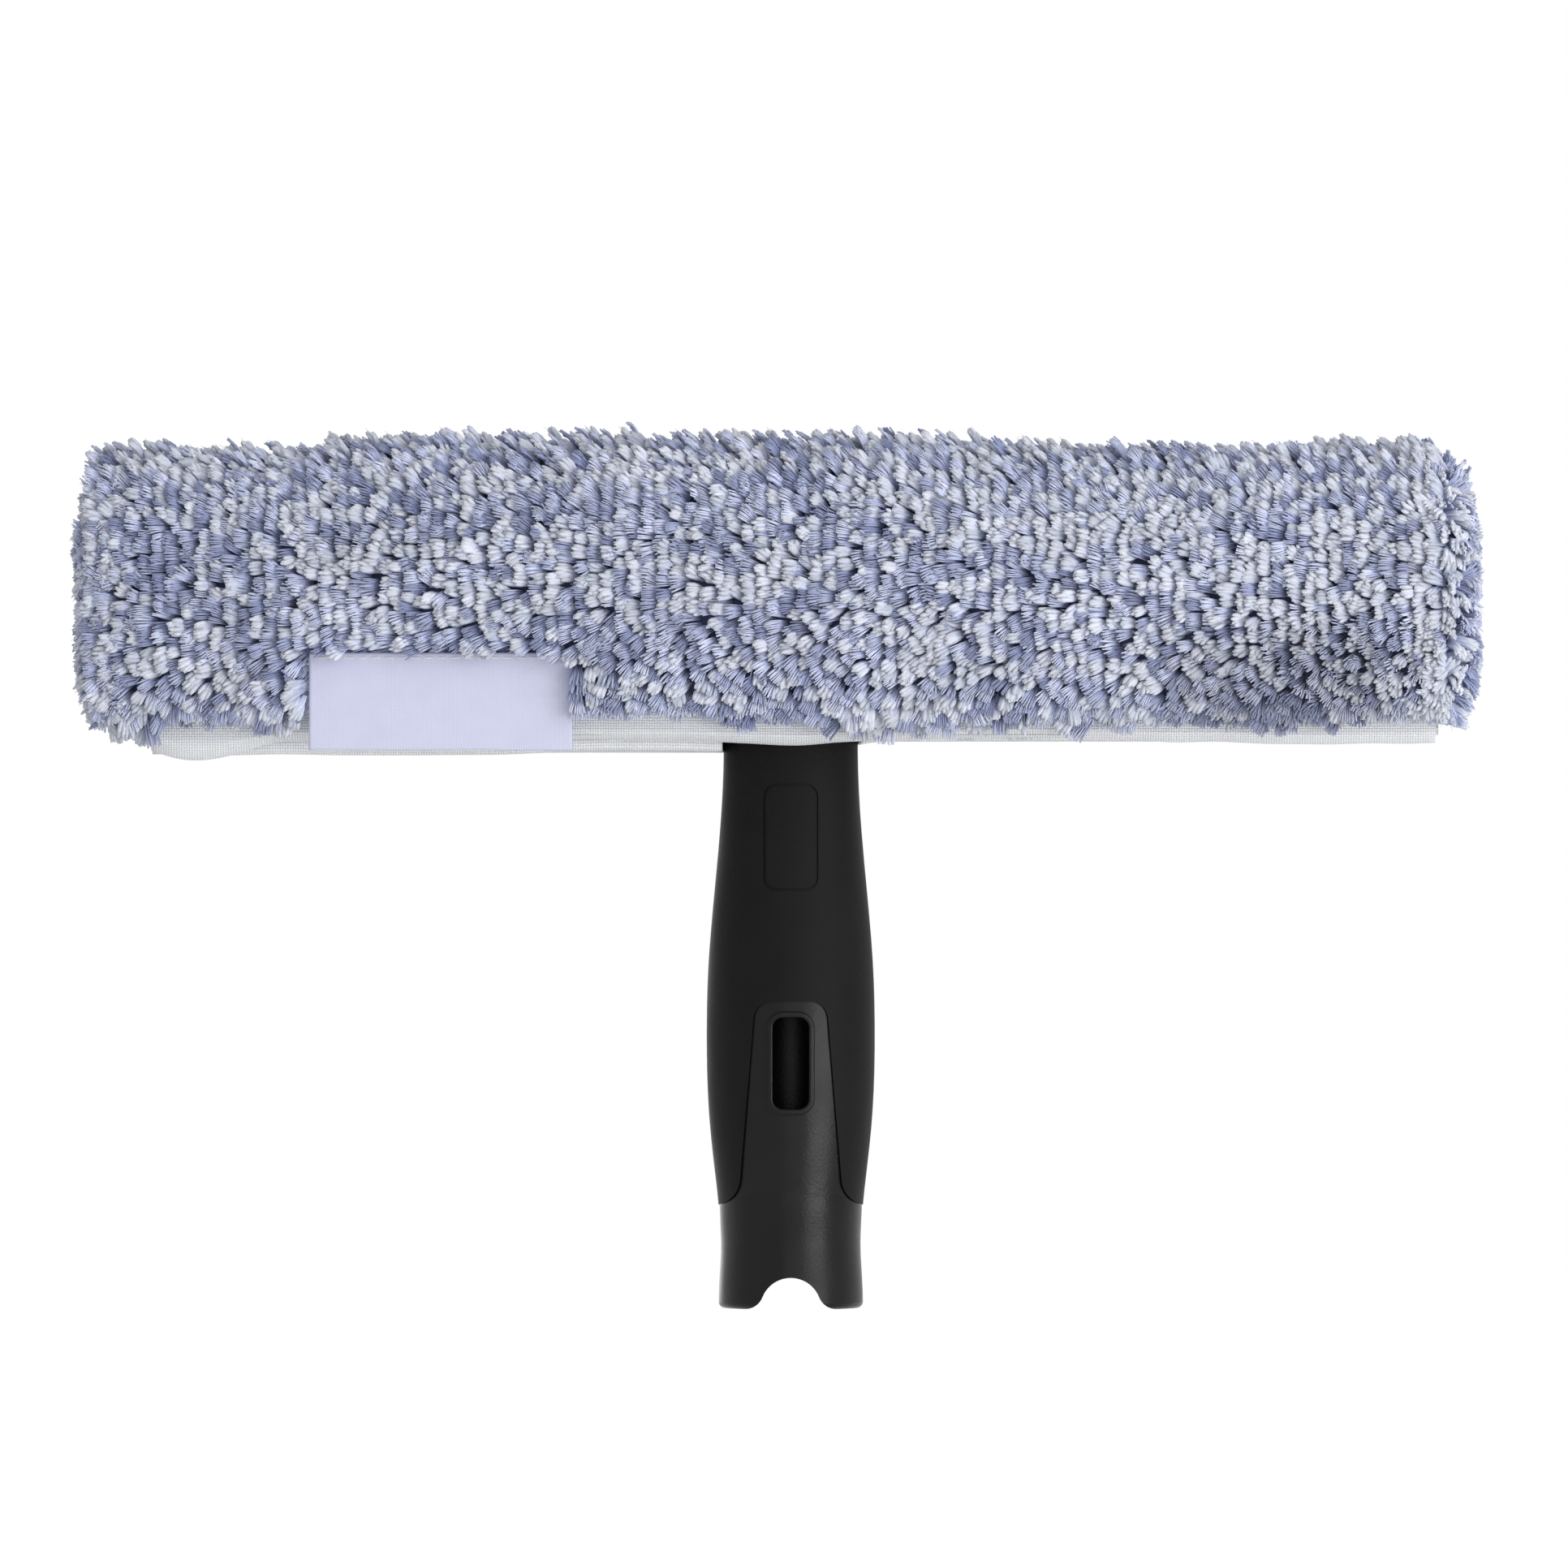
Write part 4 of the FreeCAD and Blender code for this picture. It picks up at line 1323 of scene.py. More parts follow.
        # Painted shade: tufts low in the ruffled patch on the right are drawn darker.
        shade = 1 - self.PATCH_SHADE * self._patch(x) * (1 - smooth_step(share, *self.PATCH_SHADE_LOW))
        fan = self.FAN_LEAST + self.FAN_GAIN * upright
        sites = TuftSites(skin - out * self.depth, out, lean, height, reach, fan, white, shade)
        return self._pressed(sites, by_label)

    def _pressed(self, sites: TuftSites, by_label: np.ndarray) -> TuftSites:
        """Flattens the tufts behind the label and shortens those that would hang over it.

        Args:
            sites: Tufts of the wrap.
            by_label: True where a tuft is on the front, low enough to meet the label.

        Returns:
            The same sites, with the label's room kept clear.
        """
        x, z = sites.root[:, 0], sites.root[:, 2]
        beneath = by_label & (x > self.label_left - MM) & (x < self.label_right + self.LABEL_EDGE)
        behind = beneath & (z < self.label_top + self.LABEL_EDGE)
        sites.height[behind] = self.depth - self.label_depth - MM
        sites.reach[behind] *= self.PRESSED
        above = beneath & ~behind
        drape = self.rng.uniform(*self.DRAPE, len(z)) * MM
        longer = self.rng.uniform(0.0, self.LONG_DRAPE, len(z)) * MM
        drape += longer * (self.rng.random(len(z)) < self.LONG_DRAPE_SHARE)
        room = np.maximum(z - self.label_top + drape, drape)
        fall = np.maximum(-sites.lean[:, 2], self.LEAST_FALL)
        sites.reach[above] = np.minimum(sites.reach, room / fall)[above]
        return sites

    def _fringe_sites(self, side: Side) -> TuftSites:
        """Sets the tufts that hang along a hem.

        Args:
            side: Front or rear hem.

        Returns:
            The sites.
        """
        rows = []
        for rise, across, short in self.FRINGE_ROWS:
            x = np.arange(self.left + self.FRINGE_START, self.right - self.FRINGE_STOP, self.FRINGE_PITCH)
            x = x + self.FRINGE_STRAY * MM * self.rng.standard_normal(len(x))
            if side is Side.FRONT:
                x = x[(x < self.label_left - self.LABEL_GAP[0]) | (x > self.label_right + self.LABEL_GAP[1])]
            count = len(x)
            y = side.value * (across + self.END_STRAY * self.rng.standard_normal(count))
            z = self.section.foot + rise + self.RING_STRAY * self.rng.standard_normal(count)
            mirrored = np.array([1.0, side.value, 1.0])
            out = mirrored * self.FRINGE_OUT + self.FRINGE_OUT_STRAY * self.rng.standard_normal((count, 3))
            out = unit(out)
            sway = mirrored * self.FRINGE_HANG + self.FRINGE_SWAY * self.rng.standard_normal((count, 3))
            sway[:, 0] += self.FRINGE_TURN * smooth_step(-x, *self.FRINGE_TURN_FROM)
            sway[:, 1] = np.clip(sway[:, 1], -self.FRINGE_ACROSS, self.FRINGE_ACROSS)
            sway[:, 2] = np.minimum(sway[:, 2], self.FRINGE_DOWN)
            lean = unit(sway)
            if side is Side.FRONT:
                foot = FRINGE_FOOT.at(x)
            else:
                foot = np.maximum(FRINGE_FOOT.at(-x), self.REAR_FOOT)
            short_cut = self.rng.uniform(*self.SHORT_CUT, count) * (self.rng.random(count) < self.SHORT_SHARE)
            ragged = (np.abs(self.FRINGE_STRAY * self.rng.standard_normal(count)) + short_cut) * MM
            drop = z + self.FRINGE_HEIGHT * out[:, 2] - foot - short - ragged
            far = np.clip(drop / -lean[:, 2], *self.FRINGE_REACH)
            patch = self._patch(x)
            white = self._white(x, np.full(count, rise), self.FRINGE_WHITE - self.FRINGE_BLUER * patch)
            height = self.FRINGE_HEIGHT + self.FRINGE_STRAY * MM * self.rng.standard_normal(count)
            fan = self.rng.uniform(*self.FRINGE_FAN, count)
            # Painted shade: fringe tufts in the ruffled patch are drawn darker.
            tone = 1 - self.FRINGE_SHADE * patch
            sites = TuftSites(np.stack([x, y, z], 1), out, lean, height, far, fan, white, tone)
            rows.append(sites.pick(drop > self.LEAST_DROP))
        return TuftSites.joined(rows)

    def _rim_skin(self, end: End, tip: float) -> list[tuple[np.ndarray, np.ndarray, np.ndarray]]:
        """Sets out the rings of tufts round the rounded rim of one end.

        Args:
            end: Left or right end.
            tip: Where the end's face is along the bar.

        Returns:
            For each ring, the places on the skin, the ways out and the places round the sleeve.
        """
        rings = []
        hem = self.bare_hem / 2
        for turn in np.radians(self.RIM_TURNS):
            s = np.arange(hem, self.section.girth() - hem, self.RIM_PITCH)
            s = s + self.RING_STRAY * self.rng.standard_normal(len(s))
            place, normal = self.section.at(s, self.end_round * (1 - math.cos(turn)))
            out = unit(across_bar(normal) * math.cos(turn) + end.value * RIGHT * math.sin(turn))
            x = np.full(len(s), tip - end.value * self.end_round * (1 - math.sin(turn)))
            rings.append((np.stack([x, place[:, 0], place[:, 1]], axis=1), out, s))
        return rings

    def _face_skin(self, end: End, tip: float) -> tuple[np.ndarray, np.ndarray, np.ndarray]:
        """Sets out the tufts over the flat face of one end.

        Args:
            end: Left or right end.
            tip: Where the end's face is along the bar.

        Returns:
            The places on the skin, the ways out and the heights.
        """
        section = self.section
        inset = self.end_round - self.FACE_OVERLAP
        half, arch = section.half - inset, section.arch - inset
        across = np.arange(-half, half, self.FACE_PITCH)
        up = np.arange(section.foot + self.RING_STRAY, section.centre + arch, self.RIM_PITCH)
        y, z = np.meshgrid(across, up, indexing="ij")
        z = z + np.where(np.arange(len(y)) % 2 == 0, 0.0, self.RIM_PITCH / 2)[:, None]
        inside = np.hypot(y, np.maximum(z - section.centre, 0.0)) < arch
        y, z = (a[inside] for a in (y, z))
        y, z = (a + self.END_STRAY * self.rng.standard_normal(len(a)) for a in (y, z))
        return np.stack([np.full(len(y), tip), y, z], 1), np.tile(end.value * RIGHT, (len(y), 1)), z

    def _end_sites(self, end: End) -> tuple[TuftSites, TuftSites]:
        """Sets tufts round the rounded rim and over the flat face of one end.

        Args:
            end: Left or right end.

        Returns:
            The sites on the rim and those on the face.
        """
        tip = (self.left if end is End.LEFT else self.right) - end.value * self.end_pull
        rings = self._rim_skin(end, tip)
        groups = [*rings, self._face_skin(end, tip)]
        skin, out, s = (np.concatenate(parts) for parts in zip(*groups))
        on_rim = np.arange(len(skin)) < sum(len(ring[0]) for ring in rings)
        past = np.abs(out[:, :1])
        drift = (1 - past) * [self.RIM_DRIFT] + past * [self.FACE_DRIFT]
        lean = drift + self.END_WILD[end] * self.rng.standard_normal(skin.shape)
        lean = unit(lean - out * (lean * out).sum(1, keepdims=True))
        upright = np.where(on_rim, *self.END_UPRIGHT)
        upright = upright + self.END_UPRIGHT_STRAY * self.rng.standard_normal(len(skin))
        if end is End.LEFT:
            share = self.LEFT_WHITE
        else:
            share = np.where(out[:, 0] < self.RIGHT_FACE_TURN, self.RIGHT_RIM_WHITE, self.RIGHT_FACE_WHITE)
        white = self._white(skin[:, 0] + skin[:, 1], s, share)
        height = self.depth * (1 + self.END_HEIGHT_GAIN * upright)
        height = height + self.END_STRAY * self.rng.standard_normal(len(skin))
        stray = self.rng.uniform(*self.END_REACH_STRAY, len(skin))
        reach = self.reach * (1 - self.END_REACH_LOSS * upright) * stray
        reach = reach * END_REACH.at(skin[:, 2])
        skin[:, 0] -= end.value * END_DRAW_IN.at(skin[:, 2])
        crest = smooth_step(self.section.share(skin[:, 2]), *self.CREST)
        skin[:, 2] -= (CREST_SAG.at(skin[:, 0]) + self.END_FALL) * crest
        fan = np.where(on_rim, *self.END_FAN)
        sites = TuftSites(skin - out * self.depth, out, lean, height, reach, fan, white, np.ones(len(skin)))
        return sites.pick(on_rim), sites.pick(~on_rim)

    def _tufts(self, name: str, sites: TuftSites, finish: bpy.types.Material) -> bpy.types.Object:
        """Draws every filament of some tufts as one piece.

        Args:
            name: The piece's name.
            sites: Where the tufts stand.
            finish: The yarn's material.

        Returns:
            The piece.
        """
        fibres = Fibres()
        cells = math.ceil(math.sqrt(len(sites.root)))
        place = np.arange(len(sites.root))
        for yarn, rows in ((Yarn.BLUE, ~sites.white), (Yarn.WHITE, sites.white)):
            for brush in BRUSHES[yarn]:
                self._draw(fibres, sites.pick(rows), brush, place[rows], cells)
        return fibres.piece(name, finish)

    def _draw(self, fibres: Fibres, sites: TuftSites, brush: Brush, cell: np.ndarray, cells: int) -> None:
        """Draws the filaments of tufts of one yarn.

        Args:
            fibres: Where the filaments are put.
            sites: Where the tufts stand.
            brush: How the yarn lies.
            cell: Each tuft's place in the bake map.
            cells: Tufts along one side of that map.
        """
        tufts = len(sites.root)
        shape = (tufts, brush.strands)
        across, through = brush.spread()
        base, out, lean = sites.root[:, None], sites.out[:, None], sites.lean[:, None]
        side = unit(np.cross(sites.out, sites.lean))[:, None]
        high, far = sites.height[:, None, None], sites.reach[:, None, None]
        wide = across[None, :, None] * brush.half_width * self.rng.uniform(*self.WIDTH_STRAY, (tufts, 1, 1))
        thick = (through * brush.thickness)[None, :, None]
        fall = (brush.dome * (across**2 + (through**2 if brush.layers == 1 else 0.0)))[None, :, None]
        fray = brush.fray * self.rng.standard_normal(shape + (3,))
        curl = brush.curl * self.rng.standard_normal(shape + (3,))
        stand = np.clip(self.STAND_FROM - sites.reach / self.reach, 0.0, 1.0)[:, None, None]
        root = base + side * wide * self.ROOT_WIDTH + lean * thick * (1 + stand)
        bend = base + out * (high * (1 - stand / 2) + thick / 2) + side * wide * self.BEND_WIDTH
        bend = bend + lean * (self.BEND_REACH * far) + curl
        tip = base + out * (high + thick) + side * wide * sites.fan[:, None, None]
        tip = tip + lean * (far - fall + brush.fill * thick * stand) + fray
        t = np.array(brush.rings)[None, None, :, None]
        lines = (1 - t) ** 2 * root[:, :, None] + 2 * t * (1 - t) * bend[:, :, None] + t**2 * tip[:, :, None]
        radii = brush.radius * self.rng.uniform(*self.RADIUS_STRAY, shape)
        flanks = np.broadcast_to(side, root.shape).reshape(-1, 3)
        lines = lines.reshape(-1, len(brush.rings), 3)
        points, faces = strand_tubes(lines, flanks, radii.ravel(), np.array(brush.taper), brush.sides)
        shades = np.array([shade[:3] for shade in brush.shades])
        dye_and_shade = shades[self.rng.integers(0, len(shades), tufts)] * self.rng.uniform(*self.TUFT_TONE, (tufts, 1))
        # The painted shade from the sites is multiplied into the dye here.
        dye_and_shade = dye_and_shade * sites.tone[:, None]
        strand = dye_and_shade[:, None] * self.rng.uniform(*self.STRAND_TONE, shape + (1,))
        # Painted shade: each filament is drawn darker towards its root, ring by ring.
        ringed = strand[:, :, None] * np.array(brush.root_shade)[None, None, :, None]
        # Bluer painted shade near the root.
        ringed = ringed * (1 + (1 - t) ** ROOT_SHADE_TINT_FALL * (np.array(ROOT_SHADE_TINT) - 1))
        colours = np.repeat(ringed.reshape(-1, 3), brush.sides, axis=0)
        fibres.put(points, faces, colours, self._bake_places(brush, cell, cells))

    def _bake_places(self, brush: Brush, cell: np.ndarray, cells: int) -> np.ndarray:
        """Gives every filament its own strip of the bake map.

        Args:
            brush: How the yarn lies.
            cell: Each tuft's place in the map.
            cells: Tufts along one side of the map.

        Returns:
            One u, v for each point of the tubes.
        """
        inner, lane_inner = 1 - 2 * self.MAP_EDGE, 1 - 2 * self.LANE_EDGE
        along = np.array(brush.rings)[None, None, :, None]
        column, line = (part[:, None, None, None] for part in (cell % cells, cell // cells))
        lane = np.abs(np.arange(brush.sides) - brush.sides // 2) / brush.sides
        strand = np.arange(brush.strands)[None, :, None, None]
        row = (strand + self.LANE_EDGE + lane_inner * lane) / brush.strands
        u = (column + self.MAP_EDGE + inner * along) / cells
        v = (line + self.MAP_EDGE + inner * row) / cells
        whole = (len(cell), brush.strands, len(brush.rings), brush.sides)
        return np.stack([np.broadcast_to(u, whole), np.broadcast_to(v, whole)], axis=-1).reshape(-1, 2)


@dataclass
class MouthCanvas:
    """The white canvas round the sleeve's mouth: hems that fold into two lapping flaps."""

    BLEND_UP = {Side.FRONT: 2.8 * MM, Side.REAR: 3.0 * MM}
    BLEND_DOWN = {Side.FRONT: 0.2 * MM, Side.REAR: 0.0}
    FOLD_IN = 3.1 * MM
    TURN_IN = 9.0 * MM
    HEM_OUT = (0.6 * MM, 0.4 * MM, 0.2 * MM)
    FRONT_HEM = 150.5 * MM
    REAR_HEM = 150.0 * MM
    SMOOTHING = 11
    WAVE_LENGTH = 17 * MM
    WAVE = 0.3 * MM
    FRONT_RIPPLE = (0.25 * MM, 12 * MM)
    REAR_RIPPLE = (0.2 * MM, 16 * MM)
    RAISED = (5 * MM, 24 * MM)
    LOOSE = (45 * MM, 75 * MM)
    LOOSE_SAG = 0.9 * MM
    ROLLED = (-10 * MM, 10 * MM)
    FRONT_DIP = 0.4 * MM
    FRONT_LEAST = 2.0 * MM
    FRONT_RISE = (3.0 * MM, 1.3 * MM)
    FRONT_IN = (0.2 * MM, 5.8 * MM)
    BELLY_OUT = (0.12, 0.1, 0.12, 0.2)
    BELLY_UP = (0.25, 0.6)
    REAR_RISE = (4.5 * MM, 1.3 * MM, -0.2 * MM)
    REAR_IN = 0.1 * MM
    REAR_SAG = (0.5, 0.6)
    ROLL_START = 2.0 * MM
    ROLL_EDGE = (0.3 * MM, 0.6 * MM)
    ROLL_IN = (1.6 * MM, 2.0 * MM, 1.5 * MM)
    ROLL_UP = 0.3 * MM
    ROLL_HALF = 0.5
    ROLL_GAP = 0.9

    effects: EffectGroups
    tapes: dict[Side, list[bpy.types.Object]]
    left: float = -160.5 * MM
    right: float = 161.8 * MM
    columns: int = 190
    steps: int = 6
    cloth: float = 0.65 * MM
    tuck: float = 157.0 * MM
    lift: float = 2.8 * MM
    front_lift: float = 1.5 * MM
    notch: float = 17.2 * MM
    notch_room: float = 0.4 * MM
    notch_row: int = 4
    half: float = 17.3 * MM
    front_tip: float = -0.8 * MM
    front_level: float = 143.8 * MM
    rear_tip: float = -8.4 * MM
    rear_level: float = 140.5 * MM

    def build(self) -> list[bpy.types.Object]:
        """Builds the front and rear sheets.

        Returns:
            The two pieces.
        """
        finish = CANVAS.material(self.effects)
        paths = {Side.FRONT: self._front_path, Side.REAR: self._rear_path}
        pieces = []
        for side, path in paths.items():
            name = side.name.lower()
            piece = self._sheet(side, path, finish)
            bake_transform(piece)
            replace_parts(piece, f"{name}_hem", f"{name}_flap")
            pieces.append(piece)
        return pieces

    def _columns(self) -> np.ndarray:
        """Sets out the sheet's columns along the bar, with one at each side of the neck's notch.

        Returns:
            The places along the bar, in order.
        """
        even = np.linspace(self.left, self.right, self.columns)
        clear = np.abs(np.abs(even) - self.notch) > self.notch_room
        return np.sort(np.concatenate([even[clear], [-self.notch, self.notch]]))

    def _wave(self, wander: Wander, x: np.ndarray) -> np.ndarray:
        """Slow waves of a hem, in and out, at places along the bar."""
        return self.WAVE * Streaks(wander.value, self.WAVE_LENGTH, MM).at(x, 0 * x)

    def _front_path(self, x: np.ndarray) -> np.ndarray:
        """Runs the front canvas down its hem, round its fold and inwards.

        Args:
            x: Places along the bar.

        Returns:
            Path point, column and x, y, z.
        """
        window = np.hanning(self.SMOOTHING)
        padded = np.pad(FRONT_FOLD.at(x), self.SMOOTHING // 2 - 1, mode="edge")
        fold = np.convolve(padded, window[1:-1] / window.sum(), mode="valid")
        ripple, length = self.FRONT_RIPPLE
        fold = fold + ripple * Streaks(Wander.FRONT_FOLD.value, length, MM).at(x, 0 * x)
        belly = np.maximum(self.front_level - fold, 0.0)
        level = self.front_level + self.front_lift * smooth_step(x, *self.RAISED)
        wave = self._wave(Wander.FRONT_WAVE, x)
        sunk = self.FRONT_DIP * (belly > 0)
        out, up = ([share * belly for share in shares] for shares in (self.BELLY_OUT, self.BELLY_UP))
        rise, inner = self.FRONT_RISE, self.FRONT_IN
        hem_foot = np.maximum(fold, self.front_level - self.FRONT_LEAST)
        rows = [
            (-self.HEM_OUT[0], self.tuck),
            (-self.HEM_OUT[1] + wave, self.FRONT_HEM),
            (-self.HEM_OUT[2] + wave - out[0], hem_foot + rise[0]),
            (inner[0] + wave - out[1], fold + rise[1] + up[0]),
            (self.FOLD_IN + out[2], fold),
            (inner[1] + out[3], np.maximum(fold + up[1], level - sunk)),
            (self.TURN_IN, level),
            (self.front_tip + self.half, level),
        ]
        return np.stack([np.stack([x, y - self.half + 0 * x, z + 0 * x], axis=1) for y, z in rows])

    def _rear_path(self, x: np.ndarray) -> np.ndarray:
        """Runs the rear canvas down its hem, round its fold, forward under the bar and up at its rolled edge.

        Args:
            x: Places along the bar.

        Returns:
            Path point, column and x, y, z.
        """
        ripple, length = self.REAR_RIPPLE
        sag = self.LOOSE_SAG * smooth_step(-x, *self.LOOSE)
        sag = sag + ripple * Streaks(Wander.REAR_SAG.value, length, MM).at(x, 0 * x)
        wave = self._wave(Wander.REAR_WAVE, x)
        half, tip = self.half, self.rear_tip
        level = self.rear_level + self.lift * smooth_step(x, *self.RAISED)
        roll = 1 - smooth_step(x, *self.ROLLED)
        flat = 1 - roll
        close = self.front_level - self.ROLL_GAP * self.cloth - level
        sags = [share * sag for share in self.REAR_SAG]
        rise, edge = self.REAR_RISE, self.ROLL_EDGE
        inner = [way * roll for way in self.ROLL_IN]
        rows = [
            (half + self.HEM_OUT[0], self.tuck),
            (half + self.HEM_OUT[1] + wave, self.REAR_HEM),
            (half + self.HEM_OUT[2] + wave, level + rise[0]),
            (half - self.REAR_IN + wave, level + rise[1]),
            (half - self.FOLD_IN, level + rise[2]),
            (half - self.TURN_IN, level - sags[0]),
            (tip + self.ROLL_START, level - sag),
            (tip - inner[0], level + self.ROLL_UP * roll - sag),
            (tip - edge[0] - inner[1], level + self.ROLL_HALF * (close - sag) * roll - flat * sag),
            (tip - edge[1] - inner[2], level + close * roll - flat * sags[1]),
        ]
        return np.stack([np.stack([x, y + 0 * x, z + 0 * x], axis=1) for y, z in rows])

    def _sheet(
        self, side: Side, path: Callable[[np.ndarray], np.ndarray], finish: bpy.types.Material
    ) -> bpy.types.Object:
        """Makes one sheet, notched round the neck.

        Args:
            side: Front or rear sheet.
            path: Gives the sheet's path for places along the bar.
            finish: The canvas.

        Returns:
            The piece.
        """
        x = self._columns()
        points = curve_through(path(x), self.steps)
        faces = grid_faces(len(points), len(x))
        row, column = faces[:, 0] // len(x), faces[:, 0] % len(x)
        inside = (np.abs(x[column] + x[column + 1]) / 2 < self.notch) & (row >= self.notch_row * self.steps)
        run = np.cumsum(np.linalg.norm(np.diff(points, axis=0, prepend=points[:1]), axis=2), axis=0)
        flat = np.stack([np.broadcast_to(x, run.shape), run], axis=-1).reshape(-1, 2)
        piece = mesh_piece(f"mouth_canvas_{side.name.lower()}", points.reshape(-1, 3), faces[~inside], finish)
        lay_flat(piece, CLOTH_MAP, flat)
        self._drop_loose(piece)
        thicken(piece, self.cloth)
        return piece

    @staticmethod
    def _drop_loose(piece: bpy.types.Object) -> None:
        """Removes the vertices that no face of a piece uses.

        Args:
            piece: The mesh object.
        """
        work = bmesh.new()
        work.from_mesh(piece.data)
        bmesh.ops.delete(work, geom=[v for v in work.verts if not v.link_faces], context="VERTS")
        work.to_mesh(piece.data)
        work.free()


@dataclass
class LiningSock:
    """The canvas sock inside the pile, which the bar slides into."""

    effects: EffectGroups
    section: SleeveSection
    left: float
    right: float
    cloth: float = 1.2 * MM
    columns: int = 120
    outline_step: int = 3
    end_columns: int = 13
    flat_edge: float = 12 * MM
    crease: float = 0.28 * MM
    crease_size: tuple[float, float] = (30 * MM, 9 * MM)
    bulge: float = 0.3 * MM

    def build(self) -> list[bpy.types.Object]:
        """Builds the sock's wrap and its two ends.

        Returns:
            The three pieces.
        """
        finish = LINING.material(self.effects)
        line = self.section.outline(0.0, 0.0)[:: self.outline_step]
        x = np.linspace(self.left, self.right, self.columns)
        run = run_along(line)
        slope = np.gradient(line, axis=0)
        inward = unit(np.stack([slope[:, 1], -slope[:, 0]], axis=1))
        ease = smooth_step(run, 0.0, self.flat_edge) * smooth_step(run[-1] - run, 0.0, self.flat_edge)
        along, around = np.meshgrid(x, run, indexing="ij")
        crease = self.crease * Streaks(Wander.LINING_CREASE.value, *self.crease_size).at(along, around) * ease
        points = np.empty((len(x), len(line), 3))
        points[..., 0] = x[:, None]
        points[..., 1:] = line[None] + inward[None] * crease[..., None]
        wrap = mesh_piece("lining_sock", points.reshape(-1, 3), grid_faces(len(x), len(line)), finish)
        lay_flat(wrap, CLOTH_MAP, np.stack([along, around], axis=-1).reshape(-1, 2))
        thicken(wrap, self.cloth)
        pieces = [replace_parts(wrap, "lining_wrap")]
        for end, place in ((End.LEFT, self.left), (End.RIGHT, self.right)):
            pieces.append(self._end(end, place, line, finish))
        for piece in pieces:
            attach(piece, "sleeve")
        return pieces

    def _end(self, end: End, place: float, line: np.ndarray, finish: bpy.types.Material) -> bpy.types.Object:
        """Closes one end of the sock.

        Args:
            end: Left or right end.
            place: Where it is along the bar.
            line: The sock's outline.
            finish: The lining's material.

        Returns:
            The piece.
        """
        name = end.name.lower()
        grid, faces = end_grid(line, self.end_columns)
        swell = np.sin(math.pi * np.linspace(0.0, 1.0, self.end_columns))
        x = np.broadcast_to(place + end.value * self.bulge * swell, grid.shape[:2])
        points = np.concatenate([x[..., None], grid], axis=2).reshape(-1, 3)
        piece = mesh_piece(f"lining_sock_{name}_end", points, faces, finish)
        lay_flat(piece, CLOTH_MAP, points[:, 1:])
        thicken(piece, self.cloth)
        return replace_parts(piece, f"lining_end_{name}")


